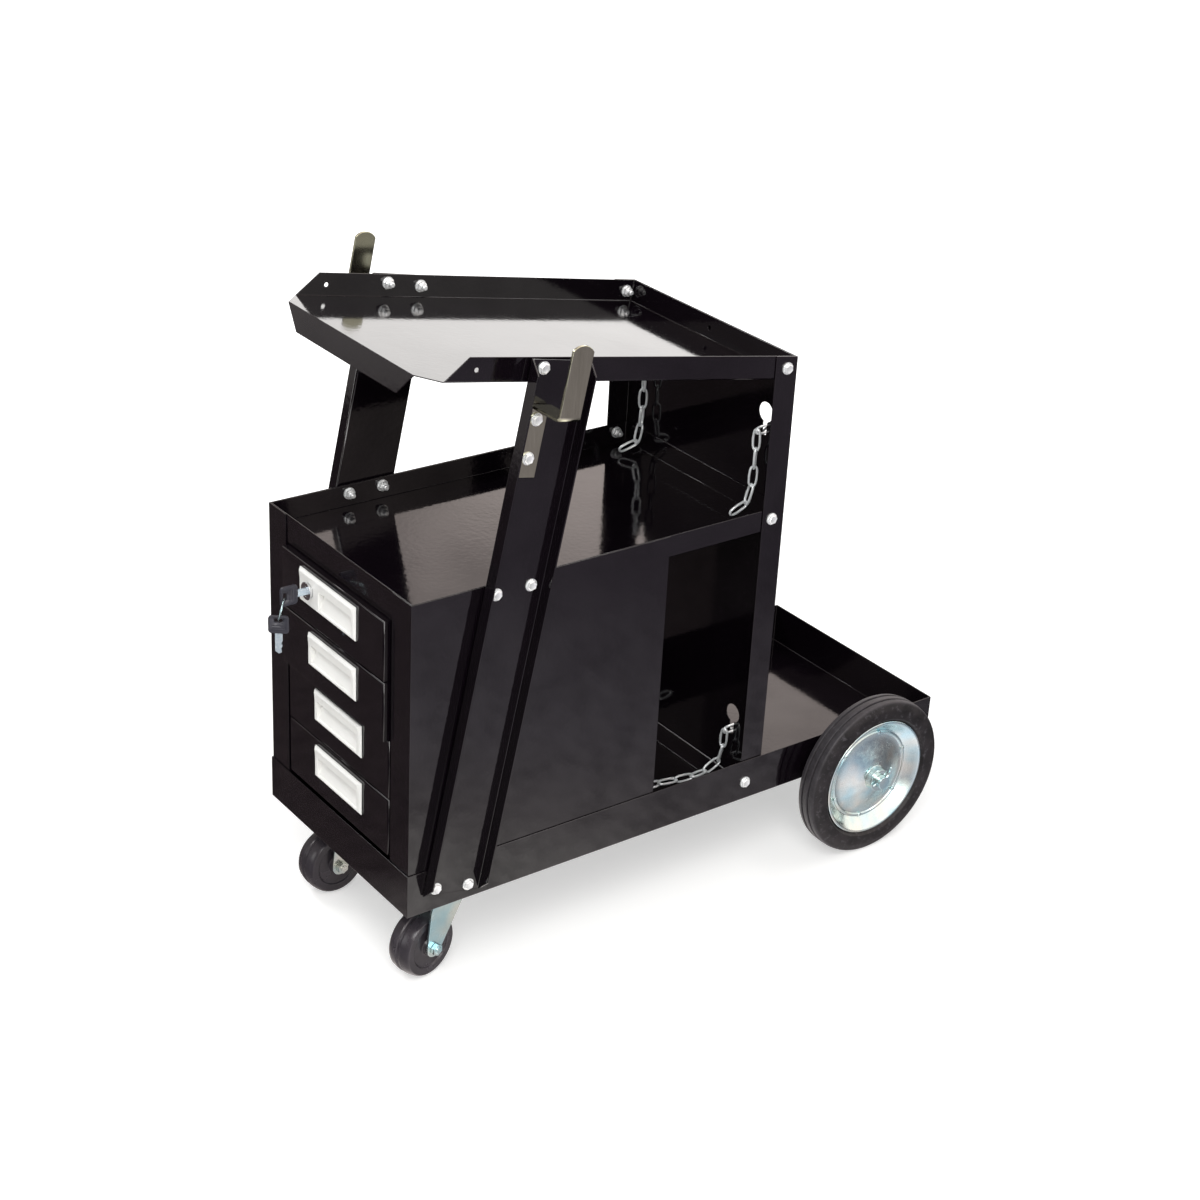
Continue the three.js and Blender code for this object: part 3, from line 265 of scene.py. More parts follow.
for name, position, power, width, height in (
    ("key softbox", (1.7, -1.5, 2.5), 52, 1.6, 1.6),
    ("front softbox", (-0.4, -2.4, 0.9), 5, 1.0, 1.0),
    ("side softbox", (1.9, -0.45, 0.85), 6, 0.8, 0.8),
    ("fill softbox", (-1.7, -1.0, 2.3), 18, 0.8, 0.8),
    ("back softbox", (0.5, 1.3, 2.7), 14, 2.0, 0.7),
    ("rear window", (-2.3, 1.8, 1.08), 4.2, 1.7, 0.65),
):
    lamp = bpy.data.lights.new(name, "AREA")
    lamp.shape = "RECTANGLE"
    lamp.energy = power
    lamp.size = width
    lamp.size_y = height
    holder = bpy.data.objects.new(name, lamp)
    holder.location = position
    holder.rotation_euler = (Vector((0, 0, 0.4)) - holder.location).to_track_quat("-Z", "Y").to_euler()
    holder.visible_camera = False
    bpy.context.scene.collection.objects.link(holder)


# Base tray: one folded sheet of 1.2 mm steel that carries the whole cart, welded at its corners.
# It is degreased, dipped and stove-enamelled in gloss black like the rest of the body.
enamel = bpy.data.materials.new("stove enamel on folded steel, gloss black")
enamel.use_nodes = True
tree = enamel.node_tree
tree.nodes.clear()
# Deep black with mirror gloss; the stoved film has a faint orange peel and slightly duller patches.
where = put(tree, "ShaderNodeTexCoord")
peel_width = 5 * mm
peel = put(
    tree,
    "ShaderNodeTexNoise",
    {"Vector": where.outputs["Object"], "Scale": 1 / peel_width, "Detail": 2.0, "Roughness": 0.4},
)
ripple = put(
    tree, "ShaderNodeBump", {"Height": peel.outputs["Fac"], "Strength": 0.05, "Distance": 1 * mm}
)
patch_width = 90 * mm
patches = put(
    tree, "ShaderNodeTexNoise", {"Vector": where.outputs["Object"], "Scale": 1 / patch_width, "Detail": 7.0}
)
film = put(
    tree,
    "ShaderNodeMapRange",
    {"Value": patches.outputs["Fac"], "From Min": 0.3, "From Max": 0.7, "To Min": 0.4, "To Max": 0.58},
)
gloss = put(
    tree,
    "ShaderNodeMapRange",
    {"Value": patches.outputs["Fac"], "From Min": 0.3, "From Max": 0.7, "To Min": 0.04, "To Max": 0.1},
)
depth = put(
    tree,
    "ShaderNodeMix",
    {"Factor": patches.outputs["Fac"], "A": linear("#09050a"), "B": linear("#100b10")},
    data_type="RGBA",
)
shade = put(
    tree,
    "ShaderNodeBsdfPrincipled",
    {
        "Base Color": depth.outputs["Result"],
        "Roughness": gloss.outputs[0],
        "IOR": 1.58,
        "Specular IOR Level": film.outputs[0],
        "Normal": ripple.outputs[0],
    },
)
put(tree, "ShaderNodeOutputMaterial", {"Surface": shade.outputs[0]})


def dressed(node, material, easing, segments=2, fold=None, flats=True):
    """A finer copy of a CAD node, standing for it: flats merged, edges eased, inner folds rounded."""
    source = frame["nodes"][node]
    body = source["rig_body"]
    mesh = bpy.data.meshes.new(node + "_finished")
    mesh.from_pydata([v.co for v in source.data.vertices], [], [p.vertices[:] for p in source.data.polygons])
    form = bmesh.new()
    form.from_mesh(mesh)
    bmesh.ops.remove_doubles(form, verts=form.verts, dist=0.002 * mm)
    if flats:
        bmesh.ops.dissolve_limit(form, angle_limit=radians(0.5), verts=form.verts, edges=form.edges)
    else:
        bmesh.ops.join_triangles(
            form, faces=form.faces, angle_face_threshold=radians(2), angle_shape_threshold=radians(80)
        )
    for face in form.faces:
        face.smooth = face.calc_area() < (45 * mm) ** 2
    widest = max(easing, fold or easing)
    share = form.edges.layers.float.new("bevel_weight_edge")
    for edge in form.edges:
        angle = edge.calc_face_angle_signed(0)
        width = easing if angle > 0 else fold or easing
        if abs(angle) > radians(32) and edge.calc_length() > 2 * width:
            edge[share] = width / widest
    form.to_mesh(mesh)
    form.free()
    mesh.materials.append(material)
    piece = bpy.data.objects.new(node + "_finished", mesh)
    bpy.context.scene.collection.objects.link(piece)
    edges = piece.modifiers.new("eased edges", "BEVEL")
    edges.width = widest
    edges.segments = segments
    edges.limit_method = "WEIGHT"
    edges.use_clamp_overlap = False
    edges.harden_normals = True
    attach(piece, body)
    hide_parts(node)
    return piece


sheet_easing = 0.5 * mm
inner_fold = 1.6 * mm
dressed("base_tray", enamel, sheet_easing, 3, inner_fold)


# Cabinet, shelf tray, rear panel and top tray: folded sheets of the same steel and enamel.
# They nest in one another and are bolted through their side walls.
for node in ("cabinet_shell", "shelf_tray", "rear_panel", "top_tray"):
    dressed(node, enamel, sheet_easing, 3, inner_fold)


# Struts: pressed channels of 2 mm steel that lean from the base tray to the top tray.
# Their flanges face outwards and are mitred at both ends.
for side in ("left", "right"):
    dressed(side + "_strut", enamel, 0.8 * mm, 3, inner_fold)


# Bolts: M6 hexagon screws with pressed washers, through the struts, walls and flanges.
# They are zinc plated; each nut sits on the inside with a few threads showing.
bright_zinc = bpy.data.materials.new("zinc plating on steel, bright blue passivate")
bright_zinc.use_nodes = True
tree = bright_zinc.node_tree
tree.nodes.clear()
# A cold silver with faint blue and straw clouds, and small dull marks from the plating barrel.
where = put(tree, "ShaderNodeTexCoord")
cloud_width = 35 * mm
clouds = put(
    tree, "ShaderNodeTexNoise", {"Vector": where.outputs["Object"], "Scale": 1 / cloud_width, "Detail": 2.0}
)
tint = put(tree, "ShaderNodeValToRGB", {"Fac": clouds.outputs["Fac"]})
tint.color_ramp.elements[0].position = 0.35
tint.color_ramp.elements[0].color = linear("#bcdde5")
tint.color_ramp.elements[1].position = 0.68
tint.color_ramp.elements[1].color = linear("#e6e9e0")
mark_width = 6 * mm
marks = put(
    tree, "ShaderNodeTexNoise", {"Vector": where.outputs["Object"], "Scale": 1 / mark_width, "Detail": 4.0}
)
dull = put(
    tree,
    "ShaderNodeMapRange",
    {"Value": marks.outputs["Fac"], "From Min": 0.35, "From Max": 0.75, "To Min": 0.17, "To Max": 0.3},
)
shade = put(
    tree,
    "ShaderNodeBsdfPrincipled",
    {"Base Color": tint.outputs["Color"], "Metallic": 0.95, "Roughness": dull.outputs[0]},
)
put(tree, "ShaderNodeOutputMaterial", {"Surface": shade.outputs[0]})


def closed_ring(form, rings):
    """Skin a row of vertex rings and close both ends."""
    for low, high in zip(rings, rings[1:]):
        count = len(low)
        for k in range(count):
            form.faces.new((low[k], low[(k + 1) % count], high[(k + 1) % count], high[k]))
    form.faces.new(list(reversed(rings[0])))
    form.faces.new(rings[-1])


def stepped(form, base, outward, steps, sides, start=0.0):
    """A prism of changing radius, standing on base along outward; steps are (radius, height)."""
    across = outward.orthogonal().normalized()
    other = outward.cross(across)
    rings = []
    for radius, height in steps:
        ring = []
        for k in range(sides):
            angle = start + 2 * pi * k / sides
            spoke = cos(angle) * across + sin(angle) * other
            ring.append(form.verts.new(base + outward * height + radius * spoke))
        rings.append(ring)
    closed_ring(form, rings)


def piece_from(form, name, material, body, smooth_below=35):
    """Turn a bmesh into a named piece that rides on a body."""
    bmesh.ops.recalc_face_normals(form, faces=form.faces)
    for face in form.faces:
        face.smooth = True
    mesh = bpy.data.meshes.new(name)
    form.to_mesh(mesh)
    form.free()
    mesh.set_sharp_from_angle(angle=radians(smooth_below))
    mesh.materials.append(material)
    piece = bpy.data.objects.new(name, mesh)
    bpy.context.scene.collection.objects.link(piece)
    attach(piece, body)
    return piece


bolt_zinc = bpy.data.materials.new("zinc plating on cold-headed bolts, tumbled")
bolt_zinc.use_nodes = True
tree = bolt_zinc.node_tree
tree.nodes.clear()
# Whiter and softer than the pressed parts, so that small heads stand out bright on the enamel.
where = put(tree, "ShaderNodeTexCoord")
tumble_width = 1.5 * mm
tumbled = put(tree, "ShaderNodeTexNoise", {"Vector": where.outputs["Object"], "Scale": 1 / tumble_width})
soft = put(tree, "ShaderNodeMapRange", {"Value": tumbled.outputs["Fac"], "To Min": 0.2, "To Max": 0.45})
shade = put(
    tree,
    "ShaderNodeBsdfPrincipled",
    {"Base Color": linear("#f3f5f5"), "Metallic": 0.55, "Roughness": soft.outputs[0]},
)
put(tree, "ShaderNodeOutputMaterial", {"Surface": shade.outputs[0]})
head_radius = 5.8 * mm
head_height = 4.2 * mm
washer_radius = 6.8 * mm
washer_sheet = 1.1 * mm
nut_height = 5 * mm
thread_radius = 3 * mm
thread_end = 5 * mm
strut_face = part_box("right_strut")[0].x + 2 * mm
strut_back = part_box("right_strut")[0].x
hook_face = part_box("right_cable_hook")[0].x + 3 * mm
wall_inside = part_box("shelf_tray")[1].x - 1.2 * mm
flange_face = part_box("rear_panel")[1].x
flange_inside = flange_face - 1.2 * mm
base_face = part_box("base_tray")[1].x
cabinet_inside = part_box("cabinet_shell")[1].x - 1.2 * mm
# (distance behind the tray front, height, outer face, inner face) of each bolt on one side
bolt_places = (
    (33.5 * mm, 137.8 * mm, strut_face, cabinet_inside),
    (74.3 * mm, 129.2 * mm, strut_face, cabinet_inside),
    (99.3 * mm, 467.5 * mm, strut_face, wall_inside),
    (141.6 * mm, 468 * mm, strut_face, wall_inside),
    (147.1 * mm, 701.3 * mm, strut_face, wall_inside),
    (188 * mm, 691.5 * mm, strut_face, wall_inside),
    (138.3 * mm, 650.4 * mm, hook_face, strut_back),
    (129.6 * mm, 610.8 * mm, hook_face, strut_back),
    (468 * mm, 641 * mm, flange_face, wall_inside),
    (464.6 * mm, 466.3 * mm, flange_face, wall_inside),
    (458.6 * mm, 133 * mm, base_face, flange_inside),
)
for side, sign in (("right", 1), ("left", -1)):
    heads = bmesh.new()
    nuts = bmesh.new()
    for index, (y, z, face, inside) in enumerate(bolt_places):
        out = Vector((sign, 0, 0))
        seat = Vector((sign * face, tray_front + y, z))
        stepped(heads, seat, out, ((washer_radius, 0), (washer_radius, washer_sheet)), 24)
        steps = (
            (head_radius, washer_sheet),
            (head_radius, head_height - 0.8 * mm),
            (0.8 * head_radius, head_height),
            (0.55 * head_radius, head_height - 0.5 * mm),
        )
        stepped(heads, seat, out, steps, 6, start=0.5 * index)
        seat = Vector((sign * inside, tray_front + y, z))
        stepped(nuts, seat, -out, ((washer_radius, 0), (washer_radius, washer_sheet)), 24)
        chamfer = nut_height + 0.8 * mm
        steps = ((head_radius, washer_sheet), (head_radius, nut_height), (0.8 * head_radius, chamfer))
        stepped(nuts, seat, -out, steps, 6, start=0.3 + 0.7 * index)
        tail = nut_height + thread_end
        steps = ((thread_radius, nut_height), (thread_radius, tail), (0.7 * thread_radius, tail + 0.8 * mm))
        stepped(nuts, seat, -out, steps, 16)
    piece_from(heads, side + "_bolt_heads", bolt_zinc, "cart")
    piece_from(nuts, side + "_nuts", bolt_zinc, "cart")


# Cable hooks: 25 mm flat bar, sheared, rounded at the top and bent twice on a press.
# The steel is left bare under a thin clear lacquer and bolted to the strut web.
bare_steel = bpy.data.materials.new("mill finish steel bar, clear lacquered")
bare_steel.use_nodes = True
tree = bare_steel.node_tree
tree.nodes.clear()
# Olive grey polished by the rolls, so it mirrors soft bands; faint streaks run along the bar.
where = put(tree, "ShaderNodeTexCoord")
streak_width = 3 * mm
stretched = put(
    tree, "ShaderNodeMapping", {"Vector": where.outputs["Object"], "Scale": (1, 1, 0.12)}
)
streaks = put(
    tree, "ShaderNodeTexNoise", {"Vector": stretched.outputs[0], "Scale": 1 / streak_width, "Detail": 3.0}
)
tone = put(
    tree,
    "ShaderNodeMix",
    {"Factor": streaks.outputs["Fac"], "A": linear("#b3b29b"), "B": linear("#d0cfb8")},
    data_type="RGBA",
)
rolled = put(tree, "ShaderNodeMapRange", {"Value": streaks.outputs["Fac"], "To Min": 0.12, "To Max": 0.24})
shade = put(
    tree,
    "ShaderNodeBsdfPrincipled",
    {"Base Color": tone.outputs["Result"], "Metallic": 1.0, "Roughness": rolled.outputs[0]},
)
put(tree, "ShaderNodeOutputMaterial", {"Surface": shade.outputs[0]})
for side in ("left", "right"):
    dressed(side + "_cable_hook", bare_steel, 0.6 * mm)


# Drawers: a folded box and a pan-shaped front each, enamelled like the cabinet.
# The boxes hang by their rims in plain zinc-plated C runners spot welded to the stiles.
for number in range(1, 5):
    dressed(f"drawer_{number}_box", enamel, 0.4 * mm)
    dressed(f"drawer_{number}_front", enamel, 0.35 * mm)
    for side in ("left", "right"):
        dressed(f"{side}_runner_{number}", bright_zinc, 0.3 * mm)


# Drawer pulls: one-piece cup pulls moulded in ivory ABS, clipped into the pierced fronts.
# The top one is longer and carries the lock.
ivory = bpy.data.materials.new("ABS, moulded, ivory")
ivory.use_nodes = True
tree = ivory.node_tree
tree.nodes.clear()
# Warm white with a low satin gloss from a finely sparked mould.
where = put(tree, "ShaderNodeTexCoord")
# The spark texture is really about 0.1 mm; it is drawn coarser so that it shows.
spark_width = 0.6 * mm
spark = put(
    tree, "ShaderNodeTexNoise", {"Vector": where.outputs["Object"], "Scale": 1 / spark_width, "Detail": 2.0}
)
grain = put(
    tree, "ShaderNodeBump", {"Height": spark.outputs["Fac"], "Strength": 0.05, "Distance": 0.1 * mm}
)
fade_width = 40 * mm
fade = put(tree, "ShaderNodeTexNoise", {"Vector": where.outputs["Object"], "Scale": 1 / fade_width})
tone = put(
    tree,
    "ShaderNodeMix",
    {"Factor": fade.outputs["Fac"], "A": linear("#efeeea"), "B": linear("#f4f4f1")},
    data_type="RGBA",
)
shade = put(
    tree,
    "ShaderNodeBsdfPrincipled",
    {"Base Color": tone.outputs["Result"], "Roughness": 0.36, "IOR": 1.53, "Normal": grain.outputs[0]},
)
put(tree, "ShaderNodeOutputMaterial", {"Surface": shade.outputs[0]})
for number in range(1, 5):
    dressed(f"drawer_{number}_pull", ivory, 0.45 * mm, 3)


# Lock: a die-cast cam lock in the top pull, chromed, with its plug and cam.
# The catch that the cam turns behind is a zinc-plated angle under the shelf.
chrome = bpy.data.materials.new("chrome plating on die-cast zinc, polished")
chrome.use_nodes = True
tree = chrome.node_tree
tree.nodes.clear()
# Clean bright metal with a very slight haze.
where = put(tree, "ShaderNodeTexCoord")
haze_width = 3 * mm
haze = put(tree, "ShaderNodeTexNoise", {"Vector": where.outputs["Object"], "Scale": 1 / haze_width})
soft = put(tree, "ShaderNodeMapRange", {"Value": haze.outputs["Fac"], "To Min": 0.06, "To Max": 0.16})
shade = put(
    tree,
    "ShaderNodeBsdfPrincipled",
    {"Base Color": linear("#e4e6e8"), "Metallic": 1.0, "Roughness": soft.outputs[0]},
)
put(tree, "ShaderNodeOutputMaterial", {"Surface": shade.outputs[0]})
dressed("lock_housing", chrome, 0.3 * mm)
dressed("lock_plug", chrome, 0.2 * mm)
dressed("lock_catch", bright_zinc, 0.3 * mm)


# Keys: stamped blades, zinc plated, with heads moulded over them in slate plastic.
# One stands in the lock; the spare hangs from it on a wire ring.
slate = bpy.data.materials.new("ABS, moulded, slate")
slate.use_nodes = True
tree = slate.node_tree
tree.nodes.clear()
# Dark blue grey with a satin skin.
where = put(tree, "ShaderNodeTexCoord")
spark = put(
    tree, "ShaderNodeTexNoise", {"Vector": where.outputs["Object"], "Scale": 1 / spark_width, "Detail": 2.0}
)
grain = put(
    tree, "ShaderNodeBump", {"Height": spark.outputs["Fac"], "Strength": 0.1, "Distance": 0.1 * mm}
)
shade = put(
    tree,
    "ShaderNodeBsdfPrincipled",
    {"Base Color": linear("#33333c"), "Roughness": 0.42, "IOR": 1.53, "Normal": grain.outputs[0]},
)
put(tree, "ShaderNodeOutputMaterial", {"Surface": shade.outputs[0]})
blade_zinc = bpy.data.materials.new("zinc plating on stamped key blades, blue passivate")
blade_zinc.use_nodes = True
tree = blade_zinc.node_tree
tree.nodes.clear()
# A pale icy blue that catches light, with brighter and duller spots from the stamping.
where = put(tree, "ShaderNodeTexCoord")
stamp_width = 2 * mm
stamped = put(tree, "ShaderNodeTexNoise", {"Vector": where.outputs["Object"], "Scale": 1 / stamp_width})
soft = put(tree, "ShaderNodeMapRange", {"Value": stamped.outputs["Fac"], "To Min": 0.1, "To Max": 0.34})
tone = put(
    tree,
    "ShaderNodeMix",
    {"Factor": stamped.outputs["Fac"], "A": linear("#a9c3d4"), "B": linear("#ecf3f8")},
    data_type="RGBA",
)
shade = put(
    tree,
    "ShaderNodeBsdfPrincipled",
    {"Base Color": tone.outputs["Result"], "Metallic": 0.6, "Roughness": soft.outputs[0]},
)
put(tree, "ShaderNodeOutputMaterial", {"Surface": shade.outputs[0]})
head_length = 20 * mm
head_half = 1.5 * mm
rib_proud = 0.45 * mm
rib_half = 0.6 * mm
rib_length = 15 * mm
spare_turn = radians(-37)
for node, along, across in (
    ("lock_key", Vector((0, 1, 0)), Vector((0, 0, 1))),
    ("spare_key", Vector((0, 0, -1)), Vector((-sin(spare_turn), cos(spare_turn), 0))),
):
    key = dressed(node, slate, 0.35 * mm)
    key.data.materials.append(blade_zinc)
    low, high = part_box(node)
    head_end = (low + high) / 2
    reach_back = (high - low).dot(Vector([abs(part) for part in along])) / 2
    head_end -= reach_back * along
    for face in key.data.polygons:
        on_blade = (face.center - head_end).dot(along) > head_length + 0.5 * mm
        face.material_index = 1 if on_blade else 0
    # Moulded finger ribs across both cheeks of the head
    form = bmesh.new()
    cheek = along.cross(across).normalized()
    for way in (cheek, -cheek):
        for place in (10.5 * mm, 13.5 * mm, 16.5 * mm):
            middle = head_end + place * along + head_half * way
            foot = []
            crest = []
            for u, v in ((-1, -1), (1, -1), (1, 1), (-1, 1)):
                corner = middle + u * rib_half * along + v * rib_length / 2 * across
                foot.append(form.verts.new(corner - 0.3 * mm * way))
                inner = middle + 0.5 * u * rib_half * along + 0.47 * v * rib_length * across
                crest.append(form.verts.new(inner + rib_proud * way))
            closed_ring(form, [foot, crest])
    piece_from(form, node + "_ribs", slate, frame["nodes"][node]["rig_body"])


def rounded_wire(node, material, loss):
    """A CAD wire form with its facets smoothed out, and the thickness lost by that made up."""
    piece = dressed(node, material, 0.1 * mm, flats=False)
    piece.modifiers.clear()
    smooth = piece.modifiers.new("smoothed wire", "SUBSURF")
    smooth.levels = 1
    smooth.render_levels = 1
    full = piece.modifiers.new("full thickness", "DISPLACE")
    full.strength = loss
    full.mid_level = 0
    return piece


rounded_wire("key_ring", bright_zinc, 0.08 * mm)


# Rear axle: a plain 16 mm zinc-plated rod in two enamelled straps under the base tray.
# Washers and split pins keep the wheels on.
dressed("axle", bright_zinc, 0.6 * mm)
for side in ("left", "right"):
    dressed(side + "_axle_bracket", enamel, 0.5 * mm)
    dressed(side + "_axle_washer", bright_zinc, 0.4 * mm)
    rounded_wire(side + "_split_pin", bright_zinc, 0.15 * mm)


# Rear wheels: solid rubber tyres with a ribbed tread on two-piece pressed rims.
# The rim halves are dished, zinc plated and crimped together round the hub tube.
rubber = bpy.data.materials.new("vulcanised rubber, moulded, black")
rubber.use_nodes = True
tree = rubber.node_tree
tree.nodes.clear()
# Soft charcoal with dusty blotches from the mould release, scuffed paler where it rolls.
where = put(tree, "ShaderNodeTexCoord")
blotch_width = 22 * mm
blotches = put(
    tree,
    "ShaderNodeTexNoise",
    {"Vector": where.outputs["Object"], "Scale": 1 / blotch_width, "Detail": 5.0, "Roughness": 0.6},
)
tone = put(tree, "ShaderNodeValToRGB", {"Fac": blotches.outputs["Fac"]})
tone.color_ramp.elements[0].position = 0.38
tone.color_ramp.elements[0].color = linear("#0b090a")
tone.color_ramp.elements[1].position = 0.66
tone.color_ramp.elements[1].color = linear("#262224")
scuff_width = 7 * mm
scuffs = put(
    tree,
    "ShaderNodeTexNoise",
    {"Vector": where.outputs["Object"], "Scale": 1 / scuff_width, "Detail": 8.0, "Roughness": 0.7},
)
scuffed = put(
    tree,
    "ShaderNodeMapRange",
    {"Value": scuffs.outputs["Fac"], "From Min": 0.54, "From Max": 0.7, "To Max": 0.6},
)
tyre_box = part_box("right_tyre")
wheel_radius = (tyre_box[1].z - tyre_box[0].z) / 2
hub = (tyre_box[0] + tyre_box[1]) / 2
from_hub = put(
    tree,
    "ShaderNodeVectorMath",
    {0: where.outputs["Object"], 1: (0, hub.y, hub.z)},
    operation="SUBTRACT",
)
spoke = put(
    tree, "ShaderNodeVectorMath", {0: from_hub.outputs["Vector"], 1: (0, 1, 1)}, operation="MULTIPLY"
)
radius = put(tree, "ShaderNodeVectorMath", {0: spoke.outputs["Vector"]}, operation="LENGTH")
rubbed = put(
    tree,
    "ShaderNodeMapRange",
    {
        "Value": radius.outputs["Value"],
        "From Min": wheel_radius - 4 * mm,
        "From Max": wheel_radius - 1 * mm,
        "To Max": 0.7,
    },
)
patchy = put(
    tree, "ShaderNodeMath", {0: rubbed.outputs[0], 1: scuffs.outputs["Fac"]}, operation="MULTIPLY"
)
wear = put(tree, "ShaderNodeMath", {0: scuffed.outputs[0], 1: patchy.outputs[0]}, operation="MAXIMUM")
worn = put(
    tree,
    "ShaderNodeMix",
    {"Factor": wear.outputs[0], "A": tone.outputs["Color"], "B": linear("#5c595e")},
    data_type="RGBA",
)
pore_width = 1.2 * mm
pores = put(
    tree, "ShaderNodeTexNoise", {"Vector": where.outputs["Object"], "Scale": 1 / pore_width, "Detail": 3.0}
)
skin = put(
    tree, "ShaderNodeBump", {"Height": pores.outputs["Fac"], "Strength": 0.12, "Distance": 0.2 * mm}
)
matt = put(tree, "ShaderNodeMapRange", {"Value": blotches.outputs["Fac"], "To Min": 0.36, "To Max": 0.6})
shade = put(
    tree,
    "ShaderNodeBsdfPrincipled",
    {
        "Base Color": worn.outputs["Result"],
        "Roughness": matt.outputs[0],
        "IOR": 1.52,
        "Specular IOR Level": 0.36,
        "Normal": skin.outputs[0],
    },
)
put(tree, "ShaderNodeOutputMaterial", {"Surface": shade.outputs[0]})


def lathed(name, profile, centre, axis, segments, material, node, easing):
    """Turn a closed profile of (radius, distance along the axis) and let it stand for a CAD node."""
    form = bmesh.new()
    across = Vector((0, 0, 1))
    other = axis.cross(across).normalized()
    rings = []
    for radius, offset in profile:
        ring = []
        for k in range(segments):
            angle = 2 * pi * k / segments
            spoke = cos(angle) * across + sin(angle) * other
            ring.append(form.verts.new(centre + axis * offset + radius * spoke))
        rings.append(ring)
    for low, high in zip(rings, rings[1:] + rings[:1]):
        for k in range(segments):
            form.faces.new((low[k], low[(k + 1) % segments], high[(k + 1) % segments], high[k]))
    piece = piece_from(form, name, material, frame["nodes"][node]["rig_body"], 180)
    edges = piece.modifiers.new("eased edges", "BEVEL")
    edges.width = easing
    edges.segments = 3
    edges.limit_method = "ANGLE"
    edges.angle_limit = radians(24)
    edges.use_clamp_overlap = True
    edges.harden_normals = True
    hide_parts(node)
    return piece


wheel_half = (tyre_box[1].x - tyre_box[0].x) / 2
rim_radius = 70 * mm
bead_half = 11.8 * mm
tread_half = 12 * mm
groove = 5 * mm
groove_half = 0.8 * mm
groove_depth = 2.5 * mm
tyre_side = (
    (rim_radius + 0.3 * mm, bead_half),
    (rim_radius + 4.5 * mm, bead_half),
    (rim_radius + 8 * mm, wheel_half - 0.3 * mm),
    (rim_radius + 13 * mm, wheel_half),
    (wheel_radius - 12 * mm, wheel_half),
    (wheel_radius - 9 * mm, wheel_half - 0.6 * mm),
    (wheel_radius - 1.8 * mm, tread_half + 0.4 * mm),
    (wheel_radius - 0.9 * mm, tread_half - 0.8 * mm),
    (wheel_radius, groove + 2 * groove_half),
    (wheel_radius - groove_depth, groove + groove_half),
    (wheel_radius - groove_depth, groove - groove_half),
    (wheel_radius, groove - 2 * groove_half),
)
rim_face = bead_half + 1.7 * mm
hub_half = 19.5 * mm
hub_radius = 14 * mm
disc = 1.6 * mm
bead_ring = 55 * mm
rim_side = (
    (rim_radius, bead_half + 0.3 * mm),
    (rim_radius + 3.9 * mm, bead_half + 0.3 * mm),
    (rim_radius + 4.1 * mm, rim_face - 0.6 * mm),
    (rim_radius + 3.2 * mm, rim_face),
    (rim_radius + 1.4 * mm, rim_face),
    (rim_radius, rim_face - 0.8 * mm),
    (rim_radius - 4 * mm, rim_face - 4.6 * mm),
    (rim_radius - 9.5 * mm, disc + 2.6 * mm),
    (bead_ring + 2.6 * mm, disc + 0.4 * mm),
    (bead_ring + 1.6 * mm, disc + 0.5 * mm),
    (bead_ring + 0.8 * mm, disc + 1.7 * mm),
    (bead_ring - 0.8 * mm, disc + 1.7 * mm),
    (bead_ring - 1.6 * mm, disc + 0.3 * mm),
    (bead_ring - 3 * mm, disc),
    (46 * mm, disc + 1.0 * mm),
    (37 * mm, disc + 3.4 * mm),
    (26 * mm, disc + 7.1 * mm),
    (19 * mm, disc + 9.2 * mm),
    (hub_radius + 1.2 * mm, disc + 10.1 * mm),
    (hub_radius, disc + 13 * mm),
    (hub_radius - 1 * mm, hub_half - 0.6 * mm),
    (hub_radius - 1.8 * mm, hub_half),
    (8.3 * mm, hub_half),
)
for side, sign in (("right", 1), ("left", -1)):
    low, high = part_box(side + "_tyre")
    centre = (low + high) / 2
    axis = Vector((sign, 0, 0))
    profile = list(tyre_side) + [(radius, -x) for radius, x in reversed(tyre_side)]
    lathed(
        side + "_tyre_moulded", profile, centre, axis, 112, rubber, side + "_tyre", 0.7 * mm
    )
    profile = list(rim_side) + [(radius, -x) for radius, x in reversed(rim_side)]
    lathed(
        side + "_rim_pressed", profile, centre, axis, 112, bright_zinc, side + "_rim", 0.8 * mm
    )
    # The two discs are pinched together at six places round the bead
    form = bmesh.new()
    for k in range(6):
        angle = 2 * pi * (k + 0.35) / 6
        for way in (1, -1):
            spoke = Vector((0, cos(angle), sin(angle)))
            seat = centre + bead_ring * spoke + way * (disc + 1.3 * mm) * axis
            steps = ((2.6 * mm, 0), (2.4 * mm, 0.8 * mm), (1.5 * mm, 1.2 * mm))
            stepped(form, seat, way * axis, steps, 16)
    piece_from(form, side + "_rim_pinches", bright_zinc, side + "_wheel", 50)


# Casters: 75 mm swivel casters with a pressed plate, a ball race and a folded fork.
# All zinc plated, with a solid black rubber wheel on a through bolt.
caster_rubber = bpy.data.materials.new("vulcanised rubber, moulded smooth, black")
caster_rubber.use_nodes = True
tree = caster_rubber.node_tree
tree.nodes.clear()
# Harder and glossier than the tyre, with a soft sheen along the crowned tread.
where = put(tree, "ShaderNodeTexCoord")
blotches = put(
    tree, "ShaderNodeTexNoise", {"Vector": where.outputs["Object"], "Scale": 1 / blotch_width, "Detail": 4.0}
)
tone = put(
    tree,
    "ShaderNodeMix",
    {"Factor": blotches.outputs["Fac"], "A": linear("#2a272a"), "B": linear("#443f46")},
    data_type="RGBA",
)
skin = put(tree, "ShaderNodeMapRange", {"Value": blotches.outputs["Fac"], "To Min": 0.2, "To Max": 0.32})
shade = put(
    tree,
    "ShaderNodeBsdfPrincipled",
    {"Base Color": tone.outputs["Result"], "Roughness": skin.outputs[0], "IOR": 1.52},
)
put(tree, "ShaderNodeOutputMaterial", {"Surface": shade.outputs[0]})

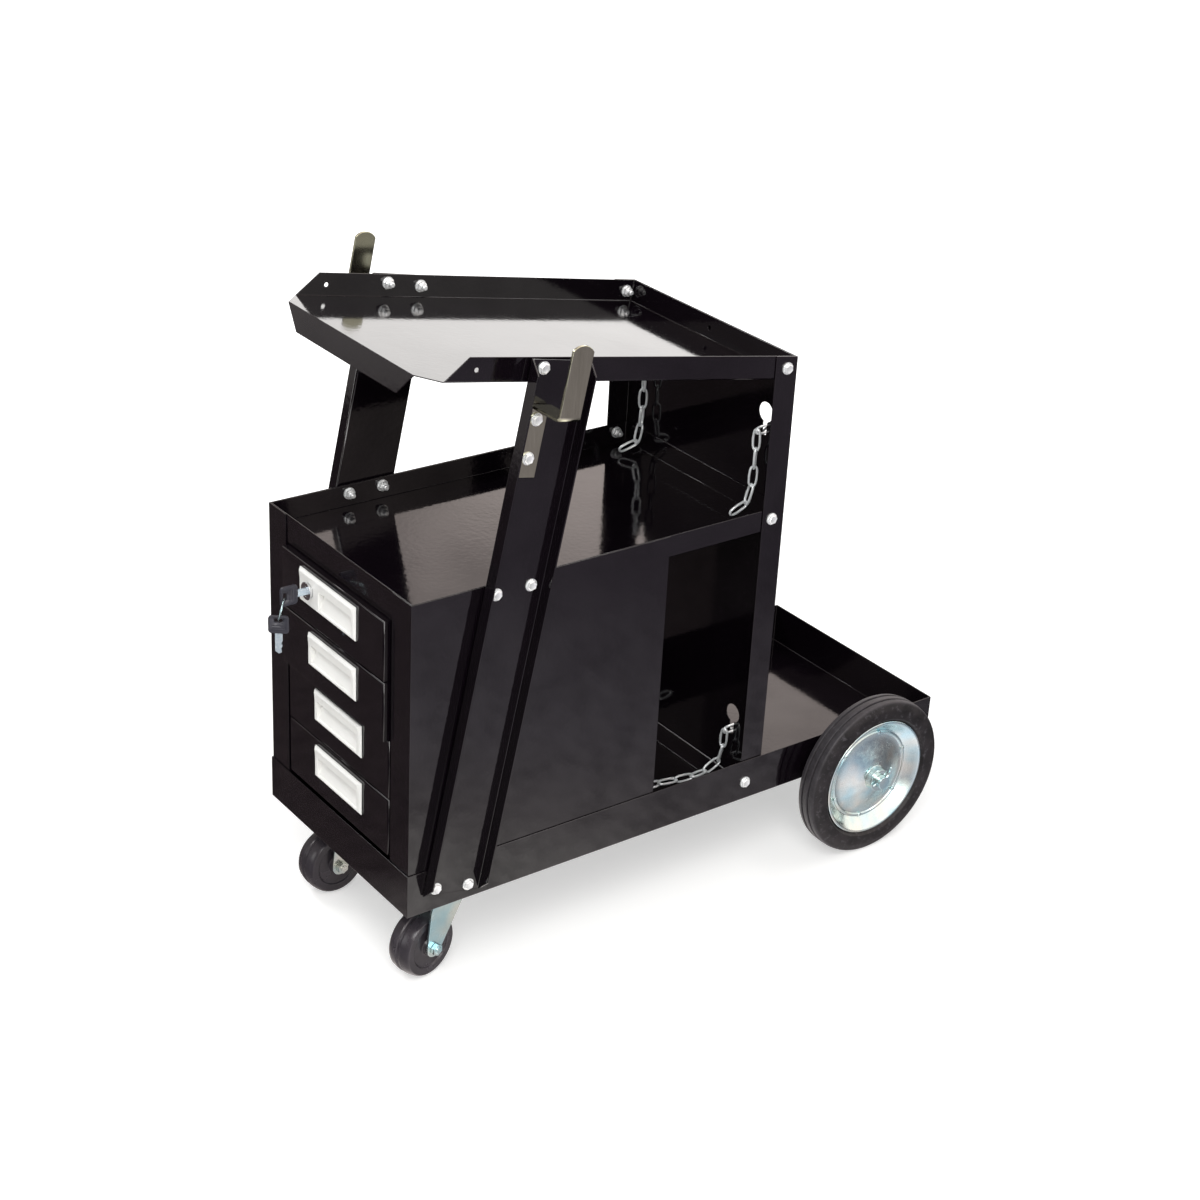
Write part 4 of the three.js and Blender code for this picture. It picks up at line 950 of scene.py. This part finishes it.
caster_radius = 37.8 * mm
caster_half = 16 * mm
tread_ridge = 3 * mm
caster_side = (
    (4.3 * mm, caster_half),
    (10 * mm, caster_half),
    (11.5 * mm, caster_half - 3 * mm),
    (25 * mm, caster_half - 3 * mm),
    (26.5 * mm, caster_half - 0.8 * mm),
    (caster_radius - 3.4 * mm, caster_half - 0.8 * mm),
    (caster_radius - 1.6 * mm, caster_half - 3.4 * mm),
    (caster_radius - 0.6 * mm, caster_half - 8 * mm),
    (caster_radius, tread_ridge),
    (caster_radius - 1.5 * mm, 0.5 * tread_ridge),
)
for side, heading in (("right", radians(14)), ("left", radians(3))):
    for part in ("mount", "fork", "axle"):
        dressed(f"{side}_caster_{part}", bright_zinc, 0.4 * mm)
    node = side + "_caster_wheel"
    low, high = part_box(node)
    centre = (low + high) / 2
    axis = Vector((cos(heading), sin(heading), 0))
    profile = list(caster_side) + [(radius, -x) for radius, x in reversed(caster_side)]
    lathed(node + "_moulded", profile, centre, axis, 72, caster_rubber, node, 0.6 * mm)


# Chains: straight-link welded chain of 3.2 mm wire, zinc plated, that holds the gas bottles.
# Each chain passes through two keyholes of the rear panel and its tails lie on the trays.
chain_zinc = bpy.data.materials.new("zinc plating on welded chain, bright")
chain_zinc.use_nodes = True
tree = chain_zinc.node_tree
tree.nodes.clear()
# Bright silver wire, a little duller where the links rub.
where = put(tree, "ShaderNodeTexCoord")
rub_width = 5 * mm
rubs = put(
    tree, "ShaderNodeTexNoise", {"Vector": where.outputs["Object"], "Scale": 1 / rub_width, "Detail": 3.0}
)
dull = put(
    tree,
    "ShaderNodeMapRange",
    {"Value": rubs.outputs["Fac"], "From Min": 0.3, "From Max": 0.7, "To Min": 0.1, "To Max": 0.22},
)
shade = put(
    tree,
    "ShaderNodeBsdfPrincipled",
    {"Base Color": linear("#f3f6f7"), "Metallic": 0.35, "Roughness": dull.outputs[0]},
)
put(tree, "ShaderNodeOutputMaterial", {"Surface": shade.outputs[0]})
for node in ("upper_chain", "lower_chain"):
    rounded_wire(node, chain_zinc, 0.2 * mm)
